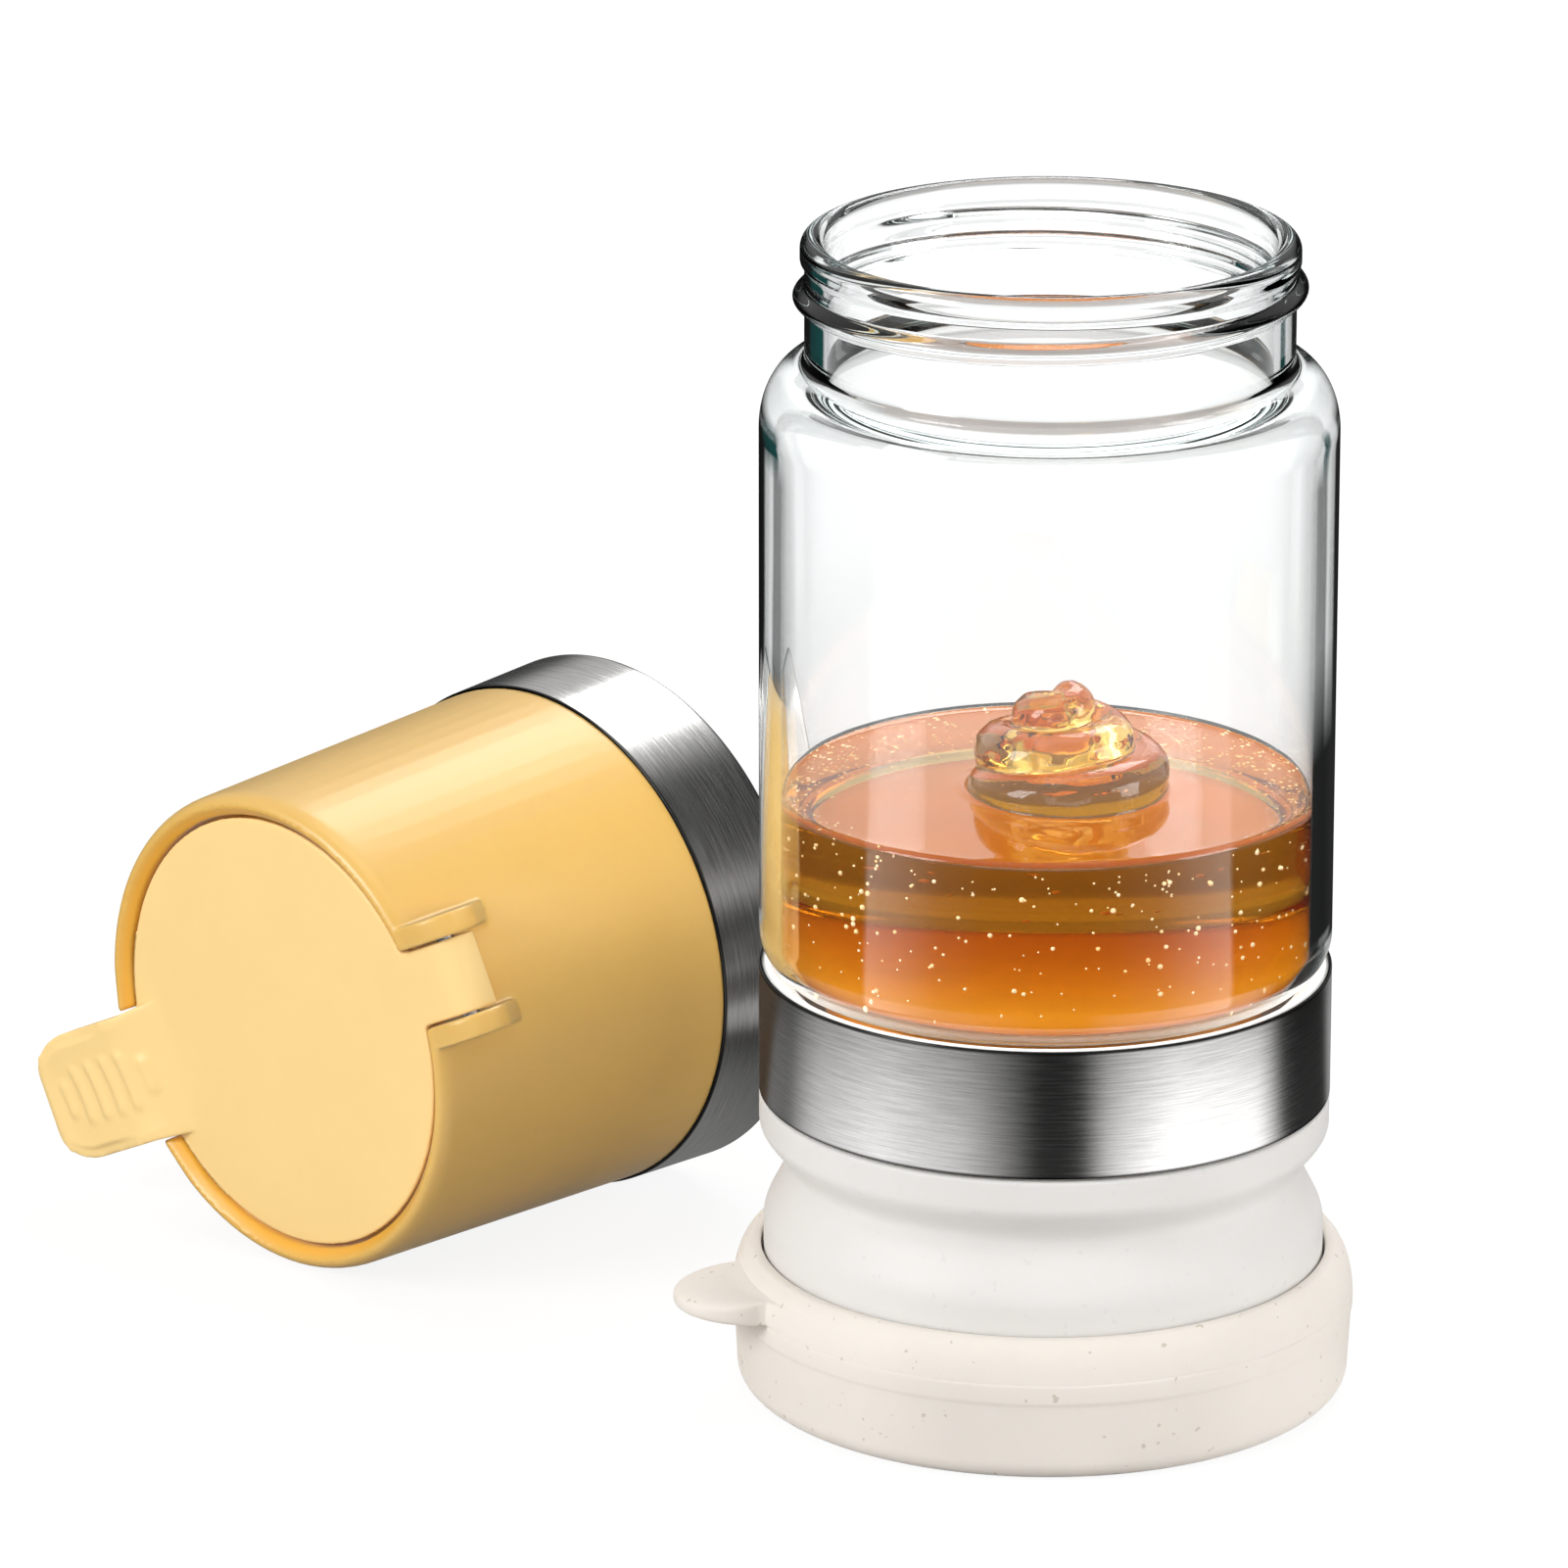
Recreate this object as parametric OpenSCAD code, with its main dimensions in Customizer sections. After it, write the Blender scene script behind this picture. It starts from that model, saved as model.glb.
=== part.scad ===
// Glass honey dispenser: a screw-neck jar on a soft squeeze bulb, with a peel-off
// base cover, and its tapered flip-lid cap taken off and lying beside it.
// Origin: centre of the base cover's underside, +Z up through the jar's mouth.

/* [Glass jar] */
// Outer radius of the glass body
jar_r = 32; // [30:0.5:36]
// Thickness of the glass
glass_t = 2.4; // [2:0.1:3]
// Height of the glass from its lower rim to its mouth
glass_h = 94.3; // [80:1:120]
// How far the threaded necks stand in from the body
neck_in = 5; // [4.4:0.1:6]
// Height of the upper neck, from the shoulder to the mouth
neck_h = 14.2; // [12:0.2:16]
// Height of the lower neck
base_neck_h = 9.8; // [8:0.2:12]
// Height of the rounded shoulder under the upper neck
shoulder_h = 7.4; // [6:0.2:10]
// Radius of the rounded corner above the lower neck
foot_round = 5.2; // [4:0.2:6]
// How far the thread beads stand out of the necks
bead_out = 1.3; // [0.8:0.1:1.5]
// Distance from the mouth down to the upper bead
bead_drop = 6.8; // [5:0.2:8]
// Height of the lower bead above the glass's lower rim
base_bead_z = 4.6; // [3:0.2:6]
// How far the rolled rim of the mouth stands out of the neck
rim_out = 0.5; // [0.3:0.1:1]

/* [Base collar and band] */
// Height of the steel band and of the collar behind it
band_h = 14.7; // [12:0.1:18]
// Thickness of the steel sheet
band_t = 0.45; // [0.3:0.05:0.8]
// Thickness of the collar's ledge under the glass
ledge_t = 2.4; // [1.5:0.1:3]
// How far the ledge's bore stays outside the bore of the glass
ledge_back = 0.6; // [0.2:0.1:1]
// Thickness of the collar's rim round the foot of the glass
collar_rim_t = 0.85; // [0.6:0.05:1]
// Thickness of the sealing rings
gasket_t = 1.5; // [1:0.1:2]
// Wall of the spigot that the bulb grips
spigot_t = 1.7; // [1.2:0.1:2]
// Length of the spigot
spigot_h = 3.6; // [2:0.2:5]

/* [Squeeze bulb] */
// Height of the bulb
bulb_h = 32; // [28:0.5:40]
// Wall thickness of the bulb
bulb_t = 2; // [1.5:0.1:2.5]
// Depth of the waist between skirt and bulge
waist_in = 2.8; // [2:0.1:3.1]
// Height of the waist above the bulb's underside
waist_z = 23.4; // [21:0.2:25]
// How far the bulge, which the base cover holds, stands in from the skirt
bulge_in = 0.5; // [0:0.1:1]
// Height of the bulge's widest ring above the bulb's underside
bulge_z = 16.6; // [14:0.2:18]
// Height of the straight skirt under the band
skirt_h = 3.2; // [2:0.2:5]
// Radius of the bulb's lower corner
bulb_corner = 3.5; // [2.5:0.1:5]

/* [Base cover] */
// Height of the cover
cover_h = 16.2; // [12:0.2:18]
// Thickness of the cover's floor
cover_floor_t = 2; // [1.5:0.1:3]
// Thickness of the cover's wall at its widest ring
cover_t = 3.2; // [2.5:0.1:4]
// Radius of the cover's lower corner
cover_corner = 2.4; // [1.5:0.1:3]
// Width of the rim's flat top
cover_rim_w = 1; // [0.6:0.1:1.6]
// Height of the faint moulded step in the wall
cover_step_z = 9.2; // [7:0.1:11]
// Width of the pull tab
pull_w = 14; // [10:0.5:18]
// Reach of the pull tab beyond the wall
pull_out = 8; // [5:0.5:12]
// Thickness of the pull tab
pull_t = 2.8; // [2:0.1:4]
// Height of the pull tab's upper face
pull_top_z = 14.4; // [12:0.2:15]
// Radius of the fillets at the pull tab's root
pull_fillet = 3; // [2:0.2:4]
// Direction of the pull tab around the jar
pull_angle = 196; // [0:1:360]

/* [Cap] */
// Length of the cap
cap_l = 56.1; // [50:0.5:64]
// How far the cap's open end stands in from the glass body
open_end_in = 0.9; // [0.3:0.05:1]
// How much the radius shrinks from the open end to the lid end
cap_taper = 2.45; // [1.5:0.05:3]
// Height of the steel band at the open end
cap_band_h = 12.8; // [10:0.2:15]
// Bare end of the moulding inside the band's outer edge
band_lap = 0.3; // [0.1:0.1:1]
// Depth of the moulding behind the flush steel band
cap_step = 0.3; // [0.1:0.05:0.4]
// Depth of the socket that takes the neck
socket_h = 13.8; // [12:0.1:15]
// Wall of the cap above the socket
cap_wall = 2.9; // [2:0.1:3.2]
// Width of the rim round the recess that the lid lies in
rim_w = 2.65; // [2.4:0.05:3]
// Width of the slope from the rim down into the recess
rim_slope_w = 1.2; // [0.8:0.1:1.4]
// Height of the rounding outside the rim
rim_round_h = 2.4; // [1:0.1:4]
// Depth of the recess
recess_h = 3.9; // [3.7:0.1:5]
// Thickness of the deck under the lid
deck_t = 2.2; // [1.6:0.1:3]
// Radius of the outlet hole
outlet_r = 5.2; // [4:0.1:6]
// Direction from the lid end to the open end, seen from above
cap_turn = 45; // [30:1:60]
// Roll of the cap on the floor, which sets where the hinge points
cap_roll = 245; // [235:1:255]
// Place of the lid end's centre beside the jar, to the right
cap_x = -88.2; // [-110:0.1:-80]
// Place of the lid end's centre beside the jar, to the back
cap_y = 34; // [20:0.1:60]

/* [Flip lid] */
// Depth of the lid's top face below the cap's rim
lid_sunk = 1.2; // [1:0.1:1.6]
// Thickness of the lid
lid_t = 2.2; // [1.8:0.1:2.4]
// Gap round the lid's upper edge
lid_gap = 0.3; // [0.2:0.05:0.5]
// Inward slope of the lid's edge
lid_draft = 1.1; // [0.9:0.1:1.4]
// Radius of the boss that the plug is pressed on
boss_r = 3; // [2:0.1:4]
// Width of the thumb tab
thumb_w = 16; // [12:0.5:18]
// Reach of the thumb tab beyond the cap's side
thumb_out = 14.4; // [8:0.2:18]
// Height of the thumb tab's face above the lid's top
thumb_rise = 3; // [2:0.1:4]
// Depth of the dish in the thumb tab's face
thumb_dish = 0.6; // [0:0.1:1]
// Thickness of the thumb tab at its tip
thumb_t = 3.3; // [2.6:0.1:4]
// Length of the ramp from the lid up to the thumb tab's face
ramp_l = 9; // [6:0.5:12]
// Distance from the lid's edge in to the start of the ramp
ramp_in = 6; // [4:0.5:10]
// Radius of the thumb tab's front corners
thumb_round = 6; // [3:0.5:7]
// Number of grip ribs on the thumb tab
rib_count = 6; // [3:1:7]
// Distance from rib to rib
rib_pitch = 2.3; // [1.6:0.1:2.6]
// Radius of the grip ribs
rib_r = 0.55; // [0.3:0.05:0.8]
// Length of the grip ribs
rib_l = 10; // [6:0.5:12]
// Distance from the thumb tab's tip to the first rib
rib_start = 3.4; // [2:0.2:5]
// Radius of the hinge pin
pin_r = 1; // [0.8:0.1:1.2]
// How far the pin's centre lies outside the cap's side
pin_out = 1.35; // [1.2:0.05:2]
// Radius of the lid's knuckle
knuckle_r = 3.2; // [2.6:0.1:3.3]
// Width of the knuckle between the ears
knuckle_w = 8.7; // [6:0.1:10]
// Thickness of each hinge ear
ear_t = 2.6; // [1.8:0.1:3]
// How far each ear runs down the cap's side from the pin
ear_run = 8; // [5:0.2:12]

/* [Outlet] */
// Width of the valve's flange round the outlet
flange_w = 2.4; // [2:0.1:3.5]
// Depth of the valve chamber
chamber_h = 6.9; // [6:0.1:9]
// Wall of the valve chamber
chamber_t = 1.8; // [1.2:0.1:2.5]
// Thickness of the valve's flange
valve_t = 1.2; // [0.8:0.1:1.5]
// Thickness of the valve's dome
dome_t = 0.8; // [0.5:0.1:1]
// Rise of the valve's dome
dome_h = 1.4; // [0.8:0.1:1.8]
// Length of the valve's crossed slits
slit_l = 6; // [4:0.5:8]
// Height of the ring that holds the valve
retainer_h = 2; // [1.5:0.1:3]
// Wall thickness of the funnel
funnel_t = 1.5; // [1:0.1:2]
// Thickness of the funnel's rim, which rests on the step in the cap
funnel_rim_t = 1.2; // [1:0.1:2]

/* [Clearances] */
// Gap between soft or sliding parts and what holds them
seat_gap = 0.3; // [0.2:0.05:0.5]
// Radial gap of the cap's socket round the thread beads
thread_gap = 0.45; // [0.3:0.05:0.6]
// Radial gap of the lid's knuckle on the pin
pin_gap = 0.06; // [0.03:0.01:0.1]
// Radial gap of a part that is pressed or screwed in
fit_gap = 0.05; // [0.02:0.01:0.1]

/* [Hidden] */
$fn = 96;
arc_steps = 8;
eps = 0.01;
past = 1;
sheet_edge = 0.2;
soft_edge = 0.3;
moulded_edge = 0.4;
steel_color = [0.72, 0.72, 0.72];
plastic_color = [0.94, 0.94, 0.92];
seal_color = [0.9, 0.9, 0.88];

// Heights of the stack, from the floor up
bulb_z = cover_floor_t + seat_gap;
collar_z = bulb_z + bulb_h + seat_gap;
ledge_top_z = collar_z + ledge_t;
collar_top_z = collar_z + band_h;
glass_z = ledge_top_z + gasket_t;
mouth_z = glass_z + glass_h;
shoulder_z = mouth_z - neck_h;
body_top_z = shoulder_z - shoulder_h;
foot_z = glass_z + base_neck_h;
body_low_z = foot_z + foot_round;

// Radii that follow from the glass
neck_r = jar_r - neck_in;
glass_in_r = jar_r - glass_t;
neck_in_r = neck_r - glass_t;
bead_r = neck_r + bead_out;
band_r = jar_r + fit_gap;
collar_r = band_r - band_t;
collar_in_r = bead_r + seat_gap;
collar_bore_r = neck_in_r + ledge_back;
spigot_r = collar_bore_r + spigot_t;
bulb_lip_r = spigot_r + seat_gap;
waist_r = jar_r - waist_in;
bulge_r = jar_r - bulge_in;
bulge_bottom_r = bulge_r - bulb_corner;
cover_in_r = bulge_r + seat_gap;
cover_r = cover_in_r + cover_t;

// The cap, in its own frame: lid end at z = 0, hinge towards +x
open_end_r = jar_r - open_end_in;
lid_end_r = open_end_r - cap_taper;
cap_tilt = atan(cap_taper / cap_l);
cap_z = lid_end_r * cos(cap_tilt);
band_start = cap_l - cap_band_h;
shell_l = cap_l - band_lap;
socket_r = bead_r + thread_gap;
cap_gasket_z = cap_l - socket_h - gasket_t;
step_z = cap_gasket_z - funnel_rim_t;
recess_r = lid_end_r - rim_w;
rim_in_r = recess_r + rim_slope_w;
rim_round_w = rim_w - rim_slope_w - 0.15;
deck_z = recess_h + deck_t;
bore_low_r = recess_r + 1.2;
bore_high_r = side_r(step_z) - cap_wall;
funnel_mouth_r = bore_high_r - 1.2;
funnel_rim_r = socket_r - seat_gap;
chamber_r = outlet_r + flange_w;
pressed_r = chamber_r - fit_gap;
chamber_end = deck_z + chamber_h;
retainer_z = deck_z + valve_t;
retainer_end = retainer_z + retainer_h;
lid_under = lid_sunk + lid_t;
lid_r = recess_r - lid_gap;
lid_seat_z = lid_under + seat_gap;
pin_x = lid_end_r + pin_out;
pin_z = lid_sunk + knuckle_r;
ear_gap = knuckle_w / 2 + seat_gap;
ear_out = ear_gap + ear_t;
pin_half_l = ear_out - 0.6;
thumb_tip_x = lid_end_r + thumb_out;
thumb_face_z = lid_sunk - thumb_rise;
ramp_start_x = lid_r - ramp_in;
plug_r = outlet_r - seat_gap;
plug_end = deck_z - seat_gap;

// Radius of the cap's tapered side at a height z above its lid end
function side_r(z) = lid_end_r + cap_taper * z / cap_l;

// Points along part of an ellipse, from angle a0 to a1
function bow(x, y, rx, ry, a0, a1, steps = arc_steps) =
    [for (i = [0:steps]) let (a = a0 + (a1 - a0) * i / steps) [x + rx * cos(a), y + ry * sin(a)]];

// Points along an arc, from angle a0 to a1
function arc(x, y, r, a0, a1, steps = arc_steps) = bow(x, y, r, r, a0, a1, steps);

// An S-shaped blend between two points that leaves both of them upright
function sweep_s(p, q, steps = arc_steps) =
    [for (i = [0:steps]) let (share = (1 - cos(180 * i / steps)) / 2)
        [p[0] + (q[0] - p[0]) * share, p[1] + (q[1] - p[1]) * i / steps]];

module revolve(points) {
    rotate_extrude() polygon(points);
}

module ring(r_out, r_in, z0, z1) {
    translate([0, 0, z0]) difference() {
        cylinder(r = r_out, h = z1 - z0);
        translate([0, 0, -past]) cylinder(r = r_in, h = z1 - z0 + 2 * past);
    }
}

// A round bar across the cap, centred on its middle plane
module cross_bar(r, length, x, z, sides = $fn) {
    translate([x, length / 2, z]) rotate([90, 0, 0]) cylinder(r = r, h = length, $fn = sides);
}

// A side view, drawn in x and z, given a width across the cap
module across(width) {
    translate([0, width / 2, 0]) rotate([90, 0, 0]) linear_extrude(height = width) children();
}

// ---- jar ----

module neck_bead(z) {
    half_h = 1.1;
    root_r = neck_r - 0.5;
    revolve(concat(
        [[root_r, z - half_h]],
        arc(bead_r - half_h, z, half_h, -90, 90),
        [[root_r, z + half_h]]
    ));
}

module glass_jar() {
    low_edge = 0.6;
    inner_lip = 0.6;
    inner_drop = 1.4;
    rim_h = 3.4;
    rim_run = 0.8;
    rim_r = neck_r + rim_out;
    mouth_round = (glass_t + rim_out) / 2 - 0.1;
    inner_top_r = neck_in_r + inner_lip;
    inner_round = foot_round - 0.8;
    inner_low_z = body_low_z + 0.8;
    color([0.86, 0.93, 0.93, 0.4]) union() {
        revolve(concat(
            [[neck_in_r, glass_z + low_edge], [neck_in_r + low_edge, glass_z]],
            [[neck_r - low_edge, glass_z], [neck_r, glass_z + low_edge], [neck_r, foot_z]],
            arc(jar_r - foot_round, body_low_z, foot_round, -78, 0),
            bow(neck_r, body_top_z, neck_in, shoulder_h, 0, 82),
            [[neck_r, shoulder_z + 0.3], [neck_r, mouth_z - rim_h], [rim_r, mouth_z - rim_h + rim_run]],
            arc(rim_r - mouth_round, mouth_z - mouth_round, mouth_round, 0, 180),
            [[neck_in_r, mouth_z - rim_h], [neck_in_r, shoulder_z - inner_drop]],
            [[inner_top_r, shoulder_z - glass_t]],
            bow(inner_top_r, body_top_z - inner_lip, neck_in - inner_lip, shoulder_h - glass_t, 80, 0),
            arc(glass_in_r - inner_round, inner_low_z, inner_round, 0, -80),
            [[neck_in_r, inner_low_z - inner_round + 0.2]]
        ));
        neck_bead(mouth_z - bead_drop);
        neck_bead(glass_z + base_bead_z);
    }
}

module base_collar() {
    seat_r = collar_r - collar_rim_t;
    seat_z = foot_z - 0.6;
    spigot_z = collar_z - spigot_h;
    color(plastic_color) revolve([
        [collar_bore_r, spigot_z], [spigot_r - moulded_edge, spigot_z],
        [spigot_r, spigot_z + moulded_edge], [spigot_r, collar_z], [collar_r, collar_z],
        [collar_r, collar_top_z - soft_edge], [collar_r - soft_edge, collar_top_z],
        [seat_r, collar_top_z], [seat_r, seat_z], [collar_in_r, seat_z],
        [collar_in_r, ledge_top_z], [collar_bore_r, ledge_top_z]
    ]);
}

module base_band() {
    color(steel_color) revolve([
        [collar_r, collar_z], [band_r - sheet_edge, collar_z], [band_r, collar_z + sheet_edge],
        [band_r, collar_top_z - sheet_edge], [band_r - sheet_edge, collar_top_z], [collar_r, collar_top_z]
    ]);
}

module base_gasket() {
    color(seal_color) ring(collar_in_r - seat_gap, collar_bore_r - moulded_edge, ledge_top_z, glass_z);
}

// ---- bulb and cover ----

module squeeze_bulb() {
    top = bulb_z + bulb_h;
    waist = bulb_z + waist_z;
    bulge = bulb_z + bulge_z;
    floor_top = bulb_z + bulb_t;
    in_corner = bulb_corner - 0.8;
    in_r = bulge_r - bulb_t;
    fold = 0.4;
    color([0.96, 0.95, 0.94]) revolve(concat(
        [[0, bulb_z], [bulge_bottom_r, bulb_z]],
        arc(bulge_bottom_r, bulb_z + bulb_corner, bulb_corner, -80, 0),
        sweep_s([bulge_r, bulge], [waist_r, waist]),
        sweep_s([waist_r, waist + fold], [jar_r, top - skirt_h]),
        [[jar_r, top - soft_edge], [jar_r - soft_edge, top], [bulb_lip_r, top], [bulb_lip_r, waist]],
        sweep_s([bulb_lip_r, waist - fold], [in_r, bulge - fold]),
        arc(in_r - in_corner, floor_top + in_corner, in_corner, 0, -90),
        [[0, floor_top]]
    ));
}

module cover_tab_outline() {
    half = pull_w / 2;
    tip_x = cover_r + pull_out - half;
    inner_x = cover_in_r - 8;
    root_half = half + pull_fillet;
    root_x = sqrt(pow(cover_r - 1, 2) - pow(root_half, 2));
    fillet_x = root_x + pull_fillet + 1.6;
    translate([tip_x, 0]) circle(r = half);
    translate([inner_x, -half]) square([tip_x - inner_x, pull_w]);
    difference() {
        translate([inner_x, -root_half]) square([fillet_x - inner_x, 2 * root_half]);
        for (side = [-1, 1]) translate([fillet_x, side * root_half]) circle(r = pull_fillet);
    }
}

module base_cover() {
    low_r = cover_r - 0.5;
    step_r = cover_r - 0.15;
    step_half = 0.3;
    upper_z = cover_step_z + 1;
    rim_r = cover_in_r + cover_rim_w - 0.4;
    color([0.91, 0.88, 0.84]) difference() {
        union() {
            revolve(concat(
                [[0, 0], [low_r - cover_corner, 0]],
                arc(low_r - cover_corner, cover_corner, cover_corner, -80, 0),
                [[step_r, cover_step_z - step_half], [cover_r, cover_step_z]],
                bow(rim_r, upper_z, cover_r - rim_r, cover_h - upper_z, 4, 80),
                [[rim_r + sheet_edge, cover_h], [0, cover_h]]
            ));
            rotate([0, 0, pull_angle]) translate([0, 0, pull_top_z - pull_t])
                linear_extrude(height = pull_t) cover_tab_outline();
        }
        revolve(concat(
            [[0, cover_floor_t], [bulge_bottom_r, cover_floor_t]],
            arc(bulge_bottom_r, bulb_z + bulb_corner, bulb_corner + seat_gap, -80, 0),
            [[cover_in_r, cover_h + past], [0, cover_h + past]]
        ));
    }
}

// ---- cap, in its own frame ----

module lay_cap() {
    translate([cap_x, cap_y, cap_z]) rotate([0, 0, cap_turn]) rotate([0, 90 - cap_tilt, 0])
        rotate([0, 0, cap_roll]) children();
}

// Hinge ear: round about the pin, then running out along a tangent into the side
module ear(side) {
    ear_top = 0.2;
    ear_in_x = recess_r + 0.6;
    ear_r = pin_z - ear_top;
    ear_foot_z = pin_z + ear_run;
    ear_foot_x = side_r(ear_foot_z) - 0.6;
    reach = sqrt(pow(ear_foot_x - pin_x, 2) + pow(ear_run, 2));
    turn = atan2(ear_run, ear_foot_x - pin_x) - acos(ear_r / reach);
    translate([0, side * (ear_gap + ear_out) / 2, 0]) across(ear_t)
        polygon(concat(
            [[ear_in_x, ear_top]],
            arc(pin_x, pin_z, ear_r, -90, turn, 12),
            [[ear_foot_x, ear_foot_z], [ear_in_x, ear_foot_z]]
        ));
}

module cap_body() {
    slope_round = 0.3;
    socket_edge = 0.4;
    bore_round = 1.5;
    lead_in = 0.5;
    chamber_out_r = chamber_r + chamber_t;
    revolve(concat(
        [[outlet_r, recess_h + lead_in], [outlet_r + lead_in, recess_h]],
        [[recess_r, recess_h], [recess_r, lid_sunk]],
        [[rim_in_r - slope_round, slope_round], [rim_in_r, 0]],
        bow(lid_end_r - rim_round_w, rim_round_h, rim_round_w, rim_round_h, -90, 0),
        [[side_r(band_start) - cap_step, band_start], [side_r(band_start) - band_t, band_start]],
        [[side_r(shell_l) - band_t, shell_l], [socket_r + socket_edge, shell_l]],
        [[socket_r, shell_l - socket_edge], [socket_r, step_z], [bore_high_r, step_z]],
        [[bore_low_r, deck_z + bore_round], [bore_low_r - bore_round, deck_z]],
        [[chamber_out_r, deck_z], [chamber_out_r, chamber_end], [chamber_r, chamber_end]],
        [[chamber_r, deck_z], [outlet_r, deck_z]]
    ));
}

// Openings in the rim for the thumb tab and for the knuckle
module rim_openings() {
    notch_y = thumb_w / 2 + moulded_edge;
    notch_in = 2;
    translate([-lid_end_r - past, -notch_y, -past])
        cube([rim_w + past + notch_in, 2 * notch_y, lid_seat_z + past]);
    translate([recess_r - notch_in, -ear_gap, -past])
        cube([pin_x - recess_r + notch_in, 2 * ear_gap, lid_seat_z + past]);
}

module cap_shell() {
    pocket_r = knuckle_r + seat_gap + fit_gap;
    color([0.98, 0.83, 0.52]) lay_cap() difference() {
        union() {
            difference() {
                cap_body();
                rim_openings();
            }
            ear(1);
            ear(-1);
        }
        // Pocket for the knuckle, and blind holes in the ears
        cross_bar(pocket_r, 2 * ear_gap, pin_x, pin_z);
        cross_bar(pin_r + fit_gap, 2 * (pin_half_l + fit_gap), pin_x, pin_z);
    }
}

module cap_band() {
    band_in_r = side_r(band_start) - band_t;
    end_r = side_r(cap_l);
    color(steel_color) lay_cap() revolve([
        [band_in_r, band_start], [band_in_r + band_t - sheet_edge, band_start],
        [side_r(band_start + sheet_edge), band_start + sheet_edge],
        [side_r(cap_l - sheet_edge), cap_l - sheet_edge],
        [end_r - sheet_edge, cap_l], [end_r - band_t, cap_l]
    ]);
}

module cap_funnel() {
    spout_in_r = pressed_r - funnel_t;
    spout_end = chamber_end + 1;
    cone_end = step_z - 2;
    mouth_in_r = funnel_mouth_r - funnel_t;
    color(plastic_color) lay_cap() revolve([
        [spout_in_r, retainer_end], [pressed_r, retainer_end], [pressed_r, spout_end],
        [funnel_mouth_r, cone_end], [funnel_mouth_r, step_z], [funnel_rim_r, step_z],
        [funnel_rim_r, cap_gasket_z], [mouth_in_r, cap_gasket_z],
        [mouth_in_r, cone_end + 0.5], [spout_in_r, spout_end + 0.5]
    ]);
}

module cap_gasket() {
    color(seal_color) lay_cap()
        ring(funnel_rim_r, neck_in_r - sheet_edge, cap_gasket_z, cap_gasket_z + gasket_t);
}

module outlet_valve() {
    dome_r = outlet_r - 0.6;
    slit_w = 0.3;
    function dome(start, i) = [dome_r * i / arc_steps, start + dome_h * (1 - pow(i / arc_steps, 2))];
    color(seal_color) lay_cap() difference() {
        revolve(concat(
            [for (i = [0:arc_steps]) dome(deck_z, i)],
            [[pressed_r, deck_z], [pressed_r, retainer_z], [dome_r + 0.3, retainer_z]],
            [for (i = [arc_steps - 1:-1:0]) dome(deck_z + dome_t, i)]
        ));
        for (turn = [0, 90]) rotate([0, 0, turn])
            translate([-slit_l / 2, -slit_w / 2, deck_z]) cube([slit_l, slit_w, dome_h + dome_t + past]);
    }
}

module valve_retainer() {
    color(plastic_color) lay_cap() ring(pressed_r, outlet_r - sheet_edge, retainer_z, retainer_end);
}

module hinge_pin() {
    color([0.7, 0.7, 0.72]) lay_cap() cross_bar(pin_r, 2 * pin_half_l, pin_x, pin_z, 48);
}

// ---- flip lid ----

// Side view of the thumb tab, from the lid up the ramp and out to the tip
module thumb_side() {
    tip_x = thumb_tip_x;
    face_end_x = tip_x - 2;
    ramp_end_x = ramp_start_x + ramp_l;
    face_l = face_end_x - ramp_end_x;
    polygon(concat(
        [[-ramp_start_x, lid_under]],
        [for (i = [0:arc_steps]) [
            -ramp_start_x - ramp_l * i / arc_steps,
            lid_sunk + eps - (thumb_rise + eps) * (1 - cos(180 * i / arc_steps)) / 2
        ]],
        [for (i = [1:arc_steps]) [
            -ramp_end_x - face_l * i / arc_steps,
            thumb_face_z + thumb_dish * sin(180 * i / arc_steps)
        ]],
        bow(-face_end_x, thumb_face_z + thumb_t / 2, tip_x - face_end_x, thumb_t / 2, 250, 110),
        [[-lid_end_r - 2, lid_under - 1], [-lid_end_r, lid_under - 0.4], [-recess_r, lid_under]]
    ));
}

module thumb_tab() {
    half = thumb_w / 2;
    corner_x = thumb_tip_x - thumb_round;
    intersection() {
        across(thumb_w) thumb_side();
        translate([0, 0, thumb_face_z - past]) linear_extrude(height = thumb_rise + lid_t + 2 * past) {
            translate([-corner_x, -half]) square([corner_x, thumb_w]);
            translate([-thumb_tip_x, -half + thumb_round])
                square([thumb_round + past, thumb_w - 2 * thumb_round]);
            for (side = [-1, 1]) translate([-corner_x, side * (half - thumb_round)]) circle(r = thumb_round);
        }
    }
}

module grip_ribs() {
    rib_z = thumb_face_z + rib_r - 0.1;
    for (i = [0:rib_count - 1])
        cross_bar(rib_r, rib_l, -thumb_tip_x + rib_start + i * rib_pitch, rib_z, 24);
}

module knuckle_side() {
    root_x = lid_r - 4;
    polygon(concat(
        [[root_x, lid_under], [root_x, lid_sunk]],
        arc(pin_x, pin_z, knuckle_r, -90, 180 + asin((pin_z - lid_under) / knuckle_r), 24)
    ));
}

module lid_disc() {
    revolve([
        [0, lid_sunk], [lid_r - sheet_edge, lid_sunk], [lid_r, lid_sunk + sheet_edge],
        [lid_r - lid_draft, lid_under], [0, lid_under]
    ]);
}

module flip_lid() {
    pocket_h = 0.8;
    boss_end = plug_end - 0.6;
    color([0.98, 0.85, 0.58]) lay_cap() difference() {
        union() {
            lid_disc();
            thumb_tab();
            grip_ribs();
            across(knuckle_w) knuckle_side();
            translate([0, 0, lid_under - eps]) cylinder(r = boss_r, h = boss_end - lid_under + eps);
        }
        ring(ramp_start_x - seat_gap, plug_r + 1, lid_under - pocket_h, lid_under + past);
        cross_bar(pin_r + pin_gap, 2 * knuckle_w, pin_x, pin_z, 48);
    }
}

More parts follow.
